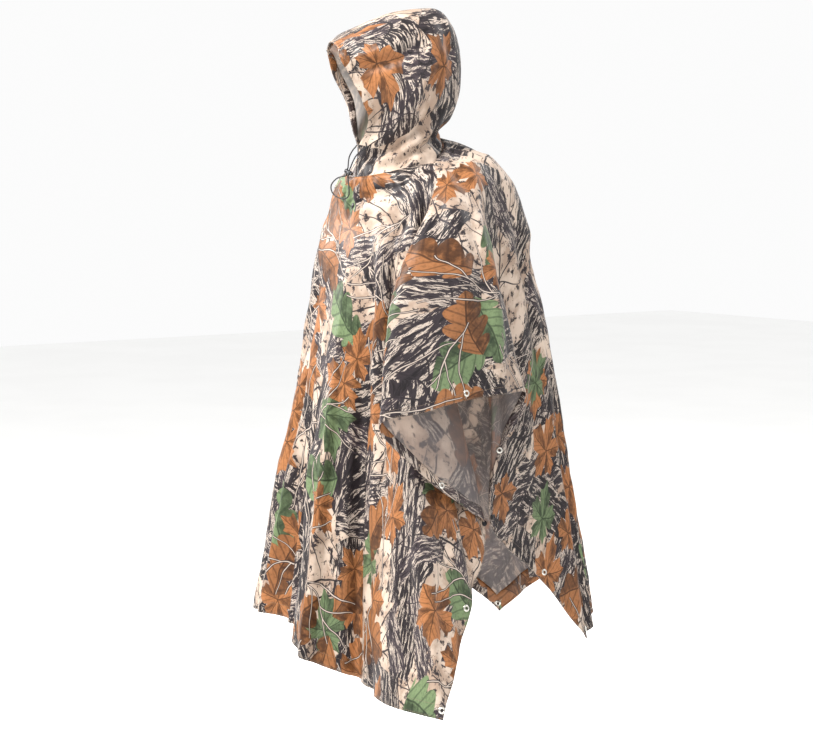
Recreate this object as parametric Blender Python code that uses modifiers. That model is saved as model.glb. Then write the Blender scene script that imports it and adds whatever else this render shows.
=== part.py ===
"""Hooded rain poncho, worn hollow: one rectangular sheet draped from the neck, a sewn-on hood,
turned hems, grommets, side snaps, a drawcord and its toggle.

Metres, +Z up. The origin is the centre of the neck base, where the shoulders carry the garment.
-Y is the wearer's front and +X is the wearer's left.
"""
import math

import bmesh
import bpy
import numpy as np
from mathutils import Vector

# ---- sizes ------------------------------------------------------------------------------
HALF_WIDTH = 0.715        # flat sheet, centre line to side edge
HALF_LENGTH = 1.02        # flat sheet, shoulder line to front or back edge
CLOTH = 0.0012            # wall of one layer, with the play of its coating
GAP = 0.0003              # clearance between pieces that touch
SEAM_HALF = 0.0003        # half the clearance at a seam between two panels
HEM_WIDTH = 0.027         # turned hem, sewn on the inside
HEM_WALL = 0.0010
NECK_SEAM_RISE = 0.0013    # hood above the sheet's neck edge
STEPS_PER_FOLD = 3        # columns of the mesh from one fold line to the next
ROWS = 17                 # rows of the mesh from neck seam to hem

NECK_HALF_X, NECK_FRONT, NECK_BACK = 0.098, 0.112, 0.082
NECK_Z_FRONT, NECK_Z_SIDE, NECK_Z_BACK = -0.052, -0.026, 0.030
YOKE_HALF_X, YOKE_FRONT, YOKE_BACK = 0.176, 0.121, 0.188
YOKE_Z_FRONT, YOKE_Z_SIDE, YOKE_Z_BACK = -0.150, -0.054, -0.020

HOOD_TURN = math.radians(-23)   # the head looks a little to the wearer's right
HOOD_ROLL = math.radians(9)
CORD_RADIUS = 0.00135
TOGGLE_RADIUS, TOGGLE_LENGTH, BUTTON_LENGTH = 0.0045, 0.0150, 0.0050
GROMMET_OUTER, GROMMET_INNER, GROMMET_HIGH = 0.0066, 0.0036, 0.0014
SNAP_RADIUS, SNAP_HIGH = 0.0056, 0.0026

# One row per fold line, from the front centre round by the wearer's left.
# turn: degrees round the neck seam; mid: the line below the shoulder; hem: its lower end;
# cut: where it ends on the flat sheet (across, along), front edge at -HALF_LENGTH.
FOLDS = (
    # name              turn   mid x    mid y   mid z    hem x   hem y   hem z   across along
    ("front ridge",        0,  0.022, -0.166, -0.290,  0.050, -0.290, -0.988,  0.000, -1.020),
    ("front valley",      18,  0.080, -0.148, -0.290,  0.132, -0.192, -1.018,  0.220, -1.020),
    ("front swell",       34,  0.138, -0.158, -0.290,  0.268, -0.236, -1.022,  0.470, -1.020),
    ("front left tip",    46,  0.172, -0.135, -0.290,  0.396, -0.198, -1.056,  0.715, -1.020),
    ("left front edge",   54,  0.178, -0.100, -0.290,  0.338, -0.072, -0.880,  0.715, -0.760),
    ("left front snap",   61,  0.178, -0.045, -0.300,  0.268,  0.012, -0.738,  0.715, -0.500),
    ("left fold",         64,  0.200, -0.075, -0.285,  0.298, -0.052, -0.690,  0.715, -0.420),
    ("left under layer",  68,  0.222, -0.120, -0.270,  0.308, -0.140, -0.632,  0.715, -0.330),
    ("left wrist",        73,  0.250, -0.195, -0.265,  0.305, -0.268, -0.515,  0.715, -0.180),
    ("left sleeve front", 82,  0.280, -0.120, -0.225,  0.338, -0.185, -0.486,  0.715, -0.090),
    ("left sleeve",       92,  0.285, -0.035, -0.220,  0.345, -0.095, -0.470,  0.715,  0.000),
    ("left sleeve back", 100,  0.275,  0.025, -0.225,  0.333,  0.010, -0.466,  0.715,  0.100),
    ("left elbow",       108,  0.245,  0.055, -0.250,  0.292,  0.092, -0.478,  0.715,  0.200),
    ("left back layer",  114,  0.205,  0.070, -0.270,  0.270,  0.048, -0.590,  0.715,  0.340),
    ("left back snap",   120,  0.180,  0.110, -0.280,  0.275,  0.021, -0.727,  0.715,  0.500),
    ("left back edge",   129,  0.165,  0.180, -0.250,  0.262,  0.160, -0.855,  0.715,  0.760),
    ("back left tip",    138,  0.145,  0.230, -0.230,  0.285,  0.262, -0.990,  0.715,  1.020),
    ("back left ridge",  149,  0.118,  0.266, -0.220,  0.235,  0.318, -0.930,  0.480,  1.020),
    ("back valley",      164,  0.062,  0.248, -0.215,  0.140,  0.318, -0.905,  0.240,  1.020),
    ("back ridge",       180,  0.004,  0.272, -0.215,  0.092,  0.402, -0.900,  0.000,  1.020),
    ("back dip",         197, -0.050,  0.254, -0.215,  0.052,  0.345, -0.905, -0.240,  1.020),
    ("back right ridge", 212, -0.112,  0.256, -0.220, -0.020,  0.398, -0.918, -0.480,  1.020),
    ("back right tip",   224, -0.150,  0.215, -0.240, -0.168,  0.392, -1.020, -0.715,  1.020),
    ("right back edge",  233, -0.175,  0.160, -0.260, -0.255,  0.230, -0.870, -0.715,  0.760),
    ("right back snap",  241, -0.188,  0.115, -0.280, -0.275,  0.044, -0.730, -0.715,  0.500),
    ("right elbow",      253, -0.238,  0.100, -0.250, -0.270,  0.150, -0.505, -0.715,  0.190),
    ("right sleeve",     270, -0.268,  0.040, -0.220, -0.312,  0.045, -0.500, -0.715,  0.000),
    ("right wrist",      287, -0.235, -0.040, -0.250, -0.272, -0.055, -0.520, -0.715, -0.190),
    ("right front snap", 299, -0.188, -0.028, -0.290, -0.275,  0.022, -0.742, -0.715, -0.500),
    ("right front edge", 306, -0.178, -0.075, -0.290, -0.278, -0.040, -0.880, -0.715, -0.760),
    ("front right tip",  314, -0.158, -0.112, -0.290, -0.258, -0.075, -0.985, -0.715, -1.020),
    ("far front ridge",  327, -0.108, -0.143, -0.290, -0.208, -0.232, -0.946, -0.470, -1.020),
    ("far front valley", 343, -0.045, -0.143, -0.290, -0.060, -0.212, -0.955, -0.220, -1.020),
)

# One row per hood section, from the neck seam up to the brim, in the hood's own directions:
# forward, sideways, up.
HOOD_SECTIONS = (
    # edge fwd, side,  up      side fwd, side,  up       crown fwd, up
    (0.1120, 0.010, -0.0520,  0.010, 0.0980, -0.0260,  -0.0820,  0.030),
    (0.1040, 0.014, -0.0200,  0.005, 0.0880,  0.0060,  -0.0760,  0.046),
    (0.0950, 0.026,  0.0120,  0.000, 0.0860,  0.0380,  -0.1040,  0.074),
    (0.0860, 0.052,  0.0450,  -.012, 0.0930,  0.0800,  -0.1190,  0.110),
    (0.0860, 0.072,  0.0800,  -.018, 0.0990,  0.1250,  -0.1210,  0.158),
    (0.0980, 0.078,  0.1150,  -.010, 0.1000,  0.1700,  -0.1170,  0.208),
    (0.1140, 0.077,  0.1450,  0.012, 0.0930,  0.2080,  -0.1060,  0.252),
    (0.1260, 0.074,  0.1680,  0.044, 0.0800,  0.2300,  -0.0660,  0.284),
    (0.1340, 0.072,  0.1800,  0.082, 0.0680,  0.2320,   0.0240,  0.2730),
    (0.1380, 0.070,  0.1880,  0.116, 0.0560,  0.2250,   0.0920,  0.2420),
    (0.1400, 0.068,  0.1920,  0.140, 0.0440,  0.2090,   0.1420,  0.2150),
)


# Where the hood's mesh lines run, from its left edge (0) over the crown (2) to its right edge (4).
HOOD_ACROSS = (0, .13, .4, .7, 1, 1.25, 1.5, 1.75, 2, 2.25, 2.5, 2.75, 3, 3.3, 3.6, 3.87, 4)


def curve_through(points, samples, closed=False):
    """Smooth curve through the points, read at fractional point numbers."""
    pts = np.asarray(points, float)
    n = len(pts)
    out = []
    for s in samples:
        i = int(math.floor(s))
        if closed:
            a, b, c, d = (pts[(i + k) % n] for k in (-1, 0, 1, 2))
        else:
            i = min(max(i, 0), n - 2)
            b, c = pts[i], pts[i + 1]
            a = pts[i - 1] if i > 0 else 2 * b - c
            d = pts[i + 2] if i + 2 < n else 2 * c - b
        w = s - i
        out.append(b + 0.5 * w * (c - a + w * (2 * a - 5 * b + 4 * c - d + w * (3 * (b - c) + d - a))))
    return np.array(out)


def ring(turn, half_x, front, back, z_front, z_side, z_back):
    """Point of an egg-shaped ring round the neck; turn 0 is the front, 90 the wearer's left."""
    s, c = math.sin(turn), math.cos(turn)
    reach = front if c > 0 else back
    z_end = z_front if c > 0 else z_back
    return np.array([half_x * s, -reach * c, z_side + (z_end - z_side) * abs(c) ** 1.4])


def sheet_columns(steps):
    """Control points and flat positions of every mesh column, fold line by fold line."""
    turns = np.array([row[1] for row in FOLDS] + [360.0])
    mids = np.array([row[2:5] for row in FOLDS])
    hems = np.array([row[5:8] for row in FOLDS])
    n = len(FOLDS)
    samples = [i + k / steps for i in range(n) for k in range(steps)]
    mid = curve_through(mids, samples, closed=True)
    hem = curve_through(hems, samples, closed=True)
    columns = []
    for s, m, h in zip(samples, mid, hem):
        i = int(s)
        turn = math.radians(turns[i] + (turns[i + 1] - turns[i]) * (s - i))
        neck = ring(turn, NECK_HALF_X, NECK_FRONT, NECK_BACK, NECK_Z_FRONT, NECK_Z_SIDE, NECK_Z_BACK)
        yoke = ring(turn, YOKE_HALF_X, YOKE_FRONT, YOKE_BACK, YOKE_Z_FRONT, YOKE_Z_SIDE, YOKE_Z_BACK)
        a, b = np.array(FOLDS[i][8:10]), np.array(FOLDS[(i + 1) % n][8:10])
        cut = a + (b - a) * (s - i)
        columns.append((neck, yoke, m, h, cut))
    return columns


def column_curve(neck, yoke, mid, hem, fractions):
    """Points down one column at fractions of its length."""
    dense = curve_through((neck, yoke, mid, hem), np.linspace(0, 3, 61))
    run = np.concatenate(([0], np.cumsum(np.linalg.norm(np.diff(dense, axis=0), axis=1))))
    run /= run[-1]
    return np.stack([np.interp(fractions, run, dense[:, k]) for k in range(3)], 1)


def sheet_grid():
    """Grid of the whole draped sheet: [column, row] points, closed round the neck."""
    grid = []
    for neck, yoke, mid, hem, cut in sheet_columns(STEPS_PER_FOLD):
        on_side = abs(abs(cut[0]) - HALF_WIDTH) < 1e-6
        hem_share = HEM_WIDTH / (HALF_WIDTH if on_side else HALF_LENGTH)
        t = np.concatenate((np.linspace(0, 1 - hem_share, ROWS), [1.0]))
        grid.append(column_curve(neck, yoke, mid, hem, t))
    return np.array(grid)


def hood_grid(rows_per_section=1, across=HOOD_ACROSS):
    """Grid of the hood: [section, across] points, across from the left edge to the right edge."""
    table = np.array(HOOD_SECTIONS)
    samples = np.linspace(0, len(table) - 1, (len(table) - 1) * rows_per_section + 1)
    rows = curve_through(table, samples)
    grid = []
    for row in rows:
        ef, es, eu, sf, ss, su, cf, cu = row
        left = ((ef, es, eu), (sf, ss, su), (cf, 0.0, cu), (sf, -ss, su), (ef, -es, eu))
        pts = curve_through(left, across)
        turned = []
        for f, s, u in pts:
            lift = min(max((u + 0.03) / 0.14, 0.0), 1.0)
            lift = lift * lift * (3 - 2 * lift)
            roll, turn = HOOD_ROLL * lift, HOOD_TURN * lift
            s, u = s * math.cos(roll) + u * math.sin(roll) * 0.5, u - s * math.sin(roll)
            turned.append((s * math.cos(turn) + f * math.sin(turn),
                           -f * math.cos(turn) + s * math.sin(turn), u))
        grid.append(turned)
    # The lowest section follows the neck seam, just inside and above the sheet's edge.
    for k, a in enumerate(across):
        seam = ring(math.radians(5 + 350 * a / 4), NECK_HALF_X, NECK_FRONT, NECK_BACK,
                    NECK_Z_FRONT, NECK_Z_SIDE, NECK_Z_BACK)
        grid[0][k] = tuple(seam * (0.992, 0.992, 1) + (0, 0, NECK_SEAM_RISE))
    return np.array(grid)


def parallel_offset(grid, distance, closed):
    """Grid moved to its outer side (inner, if negative) so that its cells stay parallel."""
    ahead = np.concatenate((grid[1:], grid[:1])) if closed else grid[1:]
    here = grid if closed else grid[:-1]
    down, across = here[:, 1:] - ahead[:, :-1], ahead[:, 1:] - here[:, :-1]
    cells = np.cross(down, across)
    cells /= np.maximum(np.linalg.norm(cells, axis=2, keepdims=True), 1e-12)
    out = np.empty_like(grid)
    n, m = grid.shape[:2]
    for i in range(n):
        for j in range(m):
            near = [cells[a % len(cells), b] for a in (i - 1, i) for b in (j - 1, j)
                    if 0 <= b < m - 1 and (closed or 0 <= a < n - 1)]
            mean = np.sum(near, axis=0)
            mean /= np.linalg.norm(mean)
            reach = max(min(float(mean @ c) for c in near), 0.45)
            out[i, j] = grid[i, j] + mean * distance / reach
    return out


# ---- objects ----------------------------------------------------------------------------
def material(name, colour, roughness, metallic=0.0):
    mat = bpy.data.materials.new(name)
    mat.use_nodes = True
    bsdf = mat.node_tree.nodes["Principled BSDF"]
    bsdf.inputs["Base Color"].default_value = (*colour, 1.0)
    bsdf.inputs["Roughness"].default_value = roughness
    bsdf.inputs["Metallic"].default_value = metallic
    return mat


def shell_from_grid(name, grid, wall, mat, flip=False, mask=None):
    """Open grid surface given its wall with Solidify; mask picks the cells that are kept."""
    mesh = bmesh.new()
    n, m = grid.shape[:2]
    verts = {}

    def vert(i, j):
        if (i, j) not in verts:
            verts[(i, j)] = mesh.verts.new(grid[i, j])
        return verts[(i, j)]

    for i in range(n - 1):
        for j in range(m - 1):
            if mask is None or mask(i, j):
                quad = [vert(i, j), vert(i, j + 1), vert(i + 1, j + 1), vert(i + 1, j)]
                mesh.faces.new(quad[::-1] if flip else quad)
    data = bpy.data.meshes.new(name)
    mesh.to_mesh(data)
    mesh.free()
    obj = bpy.data.objects.new(name, data)
    PARTS.objects.link(obj)
    data.materials.append(mat)
    solid = obj.modifiers.new("Wall", "SOLIDIFY")
    solid.thickness, solid.offset, solid.use_even_offset = wall, 0.0, False
    tri = obj.modifiers.new("Triangulate", "TRIANGULATE")
    tri.quad_method = "FIXED"
    data.shade_smooth()
    return obj


def pull_in(grid, amount):
    """Move the first and last columns of a panel inwards, to leave the seam's clearance."""
    out = grid.copy()
    for edge, inner in ((0, 1), (-1, -2)):
        step = out[inner] - out[edge]
        out[edge] += step / np.maximum(np.linalg.norm(step, axis=1, keepdims=True), 1e-9) * amount
    return out


def turned(name, profile, mat, place, normal, steps=12):
    """Turned piece: profile of (radius, height) down its outer side, standing along normal."""
    data = bpy.data.meshes.new(name)
    closed = list(profile)
    data.from_pydata([(r, 0, h) for r, h in closed],
                     [(k, (k + 1) % len(closed)) for k in range(len(closed))], [])
    obj = bpy.data.objects.new(name, data)
    PARTS.objects.link(obj)
    data.materials.append(mat)
    screw = obj.modifiers.new("Turn", "SCREW")
    screw.steps = screw.render_steps = steps
    screw.use_merge_vertices = True
    screw.merge_threshold = 0.00001
    obj.location = place
    obj.rotation_euler = Vector(normal).to_track_quat("Z", "Y").to_euler()
    return obj


def rod_profile(radius, low, high, bevel):
    """Open profile of a solid turned piece, down its outer side from axis to axis."""
    return [(0, high), (radius - bevel, high), (radius, high - bevel), (radius, low + bevel),
            (radius - bevel, low), (0, low)]


def turned_solid(name, profile, mat, place, normal, steps=12):
    data = bpy.data.meshes.new(name)
    data.from_pydata([(r, 0, h) for r, h in profile], [(k, k + 1) for k in range(len(profile) - 1)], [])
    obj = bpy.data.objects.new(name, data)
    PARTS.objects.link(obj)
    data.materials.append(mat)
    screw = obj.modifiers.new("Turn", "SCREW")
    screw.steps = screw.render_steps = steps
    screw.use_merge_vertices = True
    screw.merge_threshold = 0.00001
    obj.location = place
    obj.rotation_euler = Vector(normal).to_track_quat("Z", "Y").to_euler()
    return obj


def cord(name, route, mat, per_point=4):
    """Round cord through the route's points, as a poly spline with filled caps."""
    pts = curve_through(route, np.linspace(0, len(route) - 1, (len(route) - 1) * per_point + 1))
    data = bpy.data.curves.new(name, "CURVE")
    data.dimensions = "3D"
    data.bevel_depth = CORD_RADIUS
    data.bevel_resolution = 2
    data.use_fill_caps = True
    spline = data.splines.new("POLY")
    spline.points.add(len(pts) - 1)
    for p, co in zip(spline.points, pts):
        p.co = (*co, 1.0)
    obj = bpy.data.objects.new(name, data)
    PARTS.objects.link(obj)
    data.materials.append(mat)
    return obj


def cell_seat(grid, i, j, radius, stand_off, down=0.5):
    """Seat for a small round piece on the outer side of cell (i, j): place and outward normal."""
    a, b = grid[i, j], grid[i, j + 1]
    d, c = grid[(i + 1) % len(grid), j], grid[(i + 1) % len(grid), j + 1]
    centre = (a + d) / 2 * (1 - down) + (b + c) / 2 * down
    n = np.cross(b - d, c - a)
    n /= np.linalg.norm(n)
    size = min(np.linalg.norm(b - a), np.linalg.norm(d - a))
    warp = max(abs((p - centre) @ n) for p in (a, b, c, d))
    lift = warp * min(3 * radius / size, 1.0) + 0.0001
    return centre + n * (stand_off + lift), n


for old in list(bpy.data.objects):
    bpy.data.objects.remove(old, do_unlink=True)

PARTS = bpy.data.collections.new("rain_poncho")
bpy.context.scene.collection.children.link(PARTS)

CAMO = material("camo cloth", (0.46, 0.36, 0.25), 0.55)
HEM = material("camo cloth inside", (0.38, 0.30, 0.22), 0.6)
METAL = material("grommet metal", (0.62, 0.60, 0.56), 0.35, 0.9)
SNAP = material("snap metal", (0.05, 0.05, 0.05), 0.4, 0.6)
CORD = material("cord", (0.02, 0.02, 0.02), 0.8)
PLASTIC = material("toggle plastic", (0.02, 0.02, 0.02), 0.45)

# ---- draped sheet, in four panels -------------------------------------------------------
GRID = sheet_grid()
NAMES = [row[0] for row in FOLDS]


def fold_column(name):
    return NAMES.index(name) * STEPS_PER_FOLD


SPLITS = ("left front edge", "left back edge", "right back edge", "right front edge")
PANELS = ("sheet_left_sleeve", "sheet_back", "sheet_right_sleeve", "sheet_front")
HEMS = ("hem_left", "hem_back", "hem_right", "hem_front")
LAYER = CLOTH / 2 + GAP + HEM_WALL / 2 + 0.0003
INNER = parallel_offset(GRID, -LAYER, closed=True)
for k, (panel, hem) in enumerate(zip(PANELS, HEMS)):
    first = fold_column(SPLITS[k])
    last = fold_column(SPLITS[(k + 1) % 4])
    if last <= first:
        last += len(GRID)
    take = [c % len(GRID) for c in range(first, last + 1)]
    shell_from_grid(panel, pull_in(GRID[take], SEAM_HALF), CLOTH, CAMO)
    shell_from_grid(hem, pull_in(INNER[take], 0.003)[:, -2:], HEM_WALL, HEM)

# ---- hood -------------------------------------------------------------------------------
hood = hood_grid()
shell_from_grid("hood", hood, CLOTH, CAMO, flip=True)
cols = hood.shape[1]
rows = hood.shape[0]
shell_from_grid("hood_casing", parallel_offset(hood, -LAYER, closed=False), HEM_WALL, HEM, flip=True,
                mask=lambda i, j: i >= 2 and (j == 0 or j == cols - 2 or i == rows - 2))

# ---- hardware on the side edges ---------------------------------------------------------
RING = ((GROMMET_INNER, GROMMET_HIGH), (GROMMET_OUTER, GROMMET_HIGH * 0.5), (GROMMET_OUTER, 0.0),
        (GROMMET_INNER, 0.0))
STUD = rod_profile(SNAP_RADIUS, 0.0, SNAP_HIGH, 0.0008)
SEATS = (
    # name suffix        fold line          cell  kind
    ("front_left_tip", "front left tip", -1, "ring"),
    ("left_low_front", "left front edge", 0, "ring"),
    ("left_front", "left under layer", 0, "ring"),
    ("left_sleeve", "left sleeve", -1, "ring"),
    ("left_back", "left back layer", 0, "ring"),
    ("left_low_back", "left back edge", 0, "ring"),
    ("back_left_tip", "back left tip", 0, "ring"),
    ("back_right_tip", "back right tip", -1, "ring"),
    ("right_low_back", "right back edge", 0, "ring"),
    ("right_sleeve", "right sleeve", 0, "ring"),
    ("right_low_front", "right front edge", 0, "ring"),
    ("front_right_tip", "front right tip", 0, "ring"),
    ("left_front", "left front snap", -1, "snap"),
    ("left_back", "left back snap", 0, "snap"),
    ("right_front", "right front snap", 0, "snap"),
    ("right_back", "right back snap", -1, "snap"),
)
for suffix, fold, shift, kind in SEATS:
    i = (fold_column(fold) + shift) % len(GRID)
    place, normal = cell_seat(GRID, i, ROWS - 1, GROMMET_OUTER, CLOTH / 2 + GAP)
    if kind == "ring":
        turned("grommet_" + suffix, RING, METAL, place, normal)
        place, normal = cell_seat(INNER[::-1], len(GRID) - 2 - i if i < len(GRID) - 1 else len(GRID) - 1,
                                  ROWS - 1, GROMMET_OUTER, HEM_WALL / 2 + GAP)
        turned("washer_" + suffix, RING, METAL, place, normal)
    else:
        turned_solid("snap_" + suffix, STUD, SNAP, place, normal)

# ---- chest snap, toggle and drawcord ----------------------------------------------------
place, normal = cell_seat(GRID, 0, 0, SNAP_RADIUS, CLOTH / 2 + GAP, down=0.84)
turned_solid("snap_chest", STUD, SNAP, place, normal)

TOGGLE_AT = Vector((0.000, -0.1275, -0.0420))
TOGGLE_AXIS = Vector((0.90, 0.16, -0.34)).normalized()
BARREL = rod_profile(TOGGLE_RADIUS, -TOGGLE_LENGTH / 2, TOGGLE_LENGTH / 2, 0.0008)
BUTTON = rod_profile(TOGGLE_RADIUS * 0.78, 0.0, BUTTON_LENGTH, 0.0008)
turned_solid("toggle_barrel", BARREL, PLASTIC, TOGGLE_AT, TOGGLE_AXIS, steps=16)
turned_solid("toggle_button", BUTTON, PLASTIC,
             TOGGLE_AT + TOGGLE_AXIS * (TOGGLE_LENGTH / 2 + GAP), TOGGLE_AXIS, steps=16)

# The cord comes out of both ends of the casing, runs through the toggle and hangs as one loop.
STRAND = 0.0033                      # half the spacing of the two strands in the toggle
HALF_UP = TOGGLE_RADIUS + 0.0007
TOP = (TOGGLE_AT + TOGGLE_AXIS * STRAND, TOGGLE_AT - TOGGLE_AXIS * STRAND)
UP = Vector((0, 0, 1))
UP = (UP - TOGGLE_AXIS * UP.dot(TOGGLE_AXIS)).normalized()
LEFT_STRAND = ((0.0142, -0.0925, 0.0070), (0.0122, -0.1030, 0.0005), (0.0082, -0.1160, -0.0130),
               tuple(TOP[0] + UP * (HALF_UP + 0.004)), tuple(TOP[0] + UP * HALF_UP))
RIGHT_STRAND = ((-0.0288, -0.0890, 0.0080), (-0.0232, -0.1000, 0.0010), (-0.0140, -0.1150, -0.0130),
                tuple(TOP[1] + UP * (HALF_UP + 0.004)), tuple(TOP[1] + UP * HALF_UP))
LOOP = (tuple(TOP[1] - UP * HALF_UP), tuple(TOP[1] - UP * (HALF_UP + 0.004)), (-0.0300, -0.1330, -0.0545),
        (-0.0490, -0.1345, -0.0680), (-0.0450, -0.1350, -0.0830), (-0.0260, -0.1345, -0.0925),
        (-0.0060, -0.1320, -0.0955), (0.0060, -0.1300, -0.0880), (0.0050, -0.1290, -0.0700),
        tuple(TOP[0] - UP * (HALF_UP + 0.004)), tuple(TOP[0] - UP * HALF_UP))
cord("cord_left_strand", LEFT_STRAND, CORD)
cord("cord_right_strand", RIGHT_STRAND, CORD)
cord("cord_loop", LOOP, CORD)
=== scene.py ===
"""Hooded rain poncho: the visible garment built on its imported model.

Every size is in metres. The origin is the neck base, -Y the wearer's front, +X the wearer's left.
"""
import math

import bmesh
import bpy
import numpy as np
from mathutils import Matrix, Vector, noise


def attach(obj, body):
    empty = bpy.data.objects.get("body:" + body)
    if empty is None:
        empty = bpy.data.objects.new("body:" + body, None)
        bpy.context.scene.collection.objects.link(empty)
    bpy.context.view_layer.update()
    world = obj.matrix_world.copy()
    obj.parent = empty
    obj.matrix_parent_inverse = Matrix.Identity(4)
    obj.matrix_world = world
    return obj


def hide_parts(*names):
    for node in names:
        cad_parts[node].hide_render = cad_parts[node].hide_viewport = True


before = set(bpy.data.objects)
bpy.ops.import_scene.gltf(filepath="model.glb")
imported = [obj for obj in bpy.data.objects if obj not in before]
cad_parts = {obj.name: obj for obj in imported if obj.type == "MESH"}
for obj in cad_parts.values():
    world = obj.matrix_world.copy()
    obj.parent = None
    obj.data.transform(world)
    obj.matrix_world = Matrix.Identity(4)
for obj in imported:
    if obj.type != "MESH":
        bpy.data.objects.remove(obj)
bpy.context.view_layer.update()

bl_info = {
    "name": "Hooded rain poncho",
    "version": (1, 0, 0),
    "blender": (4, 5, 0),
    "location": "View3D > Sidebar > Poncho",
    "description": "Builds a hooded rain poncho in its worn shape, with its hems, hardware and cord",
    "category": "Object",
}

NECK_HALF_X, NECK_FRONT, NECK_BACK = 0.098, 0.112, 0.082
NECK_Z_FRONT, NECK_Z_SIDE, NECK_Z_BACK = -0.052, -0.026, 0.030
YOKE_HALF_X, YOKE_FRONT, YOKE_BACK = 0.176, 0.121, 0.188
YOKE_Z_FRONT, YOKE_Z_SIDE, YOKE_Z_BACK = -0.150, -0.054, -0.020
HOOD_TURN, HOOD_ROLL = math.radians(-23), math.radians(9)
NECK_TUCK = 0.0045          # how far the hood's lower row sits below the sheet's neck edge
NECK_TUCK_SHARE = 0.972     # and how far inside it, as a share of its size
FAR_EDGE_SAG = 0.014        # how far the far edge of the face opening bellies forward
HOOD_ROWS = 9               # mesh rows from one hood section to the next
CASING_FIRST_SECTION = 2    # the drawcord casing starts at this section
BRIM_ROWS = 8               # mesh rows of the casing along the brim
HEM_ROWS = 4                # mesh rows of the turned hem
HOOD_EDGE = 3               # mesh columns of the casing along the face opening
SHEET_NECK_X, SHEET_NECK_Y = 0.085, 0.095   # neck hole of the flat sheet, half its size
# Two sizes of pleat run down the sheet: distance from one to the next along the hem, and depth.
PLEAT_WIDE, PLEAT_WIDE_DEPTH = 0.137, 0.0100
PLEAT_FINE, PLEAT_FINE_DEPTH = 0.071, 0.0030
SNAP_CLEAR = 0.0002         # a ring or snap above the cloth
FLOOR_Z = -1.46

# One row per fold line, from the front centre round by the wearer's left.
# turn: degrees round the neck seam; mid: the line below the shoulder; hem: its lower end;
# cut: where it ends on the flat sheet (across, along), front edge at -HALF_LENGTH.
FOLDS = (
    # name              turn   mid x    mid y   mid z    hem x   hem y   hem z   across along
    ("front ridge",        0,  0.024, -0.163, -0.290,  0.055, -0.284, -0.988,  0.000, -1.020),
    ("front valley",      18,  0.080, -0.148, -0.290,  0.134, -0.192, -1.034,  0.220, -1.020),
    ("front swell",       34,  0.138, -0.158, -0.290,  0.268, -0.232, -1.048,  0.470, -1.020),
    ("front left tip",    46,  0.172, -0.135, -0.290,  0.401, -0.191, -1.058,  0.715, -1.020),
    ("left front edge",   54,  0.178, -0.100, -0.290,  0.332, -0.077, -0.880,  0.715, -0.760),
    ("left front snap",   61,  0.178, -0.045, -0.300,  0.268,  0.012, -0.738,  0.715, -0.500),
    ("left fold",         64,  0.200, -0.075, -0.285,  0.298, -0.052, -0.690,  0.715, -0.420),
    ("left under layer",  68,  0.222, -0.120, -0.270,  0.308, -0.140, -0.632,  0.715, -0.330),
    ("left wrist",        73,  0.250, -0.195, -0.265,  0.305, -0.268, -0.515,  0.715, -0.180),
    ("left sleeve front", 82,  0.280, -0.120, -0.225,  0.338, -0.185, -0.486,  0.715, -0.090),
    ("left sleeve",       92,  0.285, -0.035, -0.220,  0.345, -0.095, -0.470,  0.715,  0.000),
    ("left sleeve back", 100,  0.275,  0.025, -0.225,  0.333,  0.010, -0.466,  0.715,  0.100),
    ("left elbow",       108,  0.245,  0.055, -0.250,  0.292,  0.092, -0.478,  0.715,  0.200),
    ("left back layer",  114,  0.205,  0.070, -0.270,  0.270,  0.048, -0.590,  0.715,  0.340),
    ("left back snap",   120,  0.180,  0.110, -0.280,  0.275,  0.021, -0.727,  0.715,  0.500),
    ("left back edge",   129,  0.165,  0.180, -0.250,  0.262,  0.160, -0.855,  0.715,  0.760),
    ("back left tip",    138,  0.141,  0.224, -0.230,  0.283,  0.262, -0.984,  0.715,  1.020),
    ("back left ridge",  149,  0.112,  0.257, -0.220,  0.234,  0.317, -0.951,  0.480,  1.020),
    ("back valley",      164,  0.062,  0.248, -0.215,  0.140,  0.318, -0.905,  0.240,  1.020),
    ("back ridge",       180,  0.004,  0.272, -0.215,  0.092,  0.402, -0.900,  0.000,  1.020),
    ("back dip",         197, -0.050,  0.254, -0.215,  0.052,  0.345, -0.905, -0.240,  1.020),
    ("back right ridge", 212, -0.112,  0.256, -0.220, -0.020,  0.398, -0.918, -0.480,  1.020),
    ("back right tip",   224, -0.150,  0.215, -0.240, -0.164,  0.397, -1.018, -0.715,  1.020),
    ("right back edge",  233, -0.175,  0.160, -0.260, -0.255,  0.230, -0.870, -0.715,  0.760),
    ("right back snap",  241, -0.188,  0.115, -0.280, -0.275,  0.044, -0.730, -0.715,  0.500),
    ("right elbow",      253, -0.238,  0.100, -0.250, -0.270,  0.150, -0.505, -0.715,  0.190),
    ("right sleeve",     270, -0.268,  0.040, -0.220, -0.312,  0.045, -0.500, -0.715,  0.000),
    ("right wrist",      287, -0.235, -0.040, -0.250, -0.272, -0.055, -0.520, -0.715, -0.190),
    ("right front snap", 299, -0.188, -0.028, -0.290, -0.275,  0.022, -0.742, -0.715, -0.500),
    ("right front edge", 306, -0.178, -0.075, -0.290, -0.278, -0.040, -0.880, -0.715, -0.760),
    ("front right tip",  314, -0.158, -0.112, -0.290, -0.258, -0.075, -0.985, -0.715, -1.020),
    ("far front ridge",  327, -0.104, -0.137, -0.290, -0.203, -0.226, -0.946, -0.470, -1.020),
    ("far front valley", 343, -0.045, -0.143, -0.290, -0.060, -0.212, -0.955, -0.220, -1.020),
)
NAMES = [row[0] for row in FOLDS]
# Fold lines where two layers lie close: name, reach in fold lines, share of calm.
CLOSE_LAYERS = (("left fold", 1.6, 1.0), ("left wrist", 0.6, 1.0), ("left back snap", 1.0, 1.0),
                ("right front snap", 1.0, 1.0), ("right back snap", 1.0, 1.0),
                ("left sleeve", 1.2, 0.75))

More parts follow.
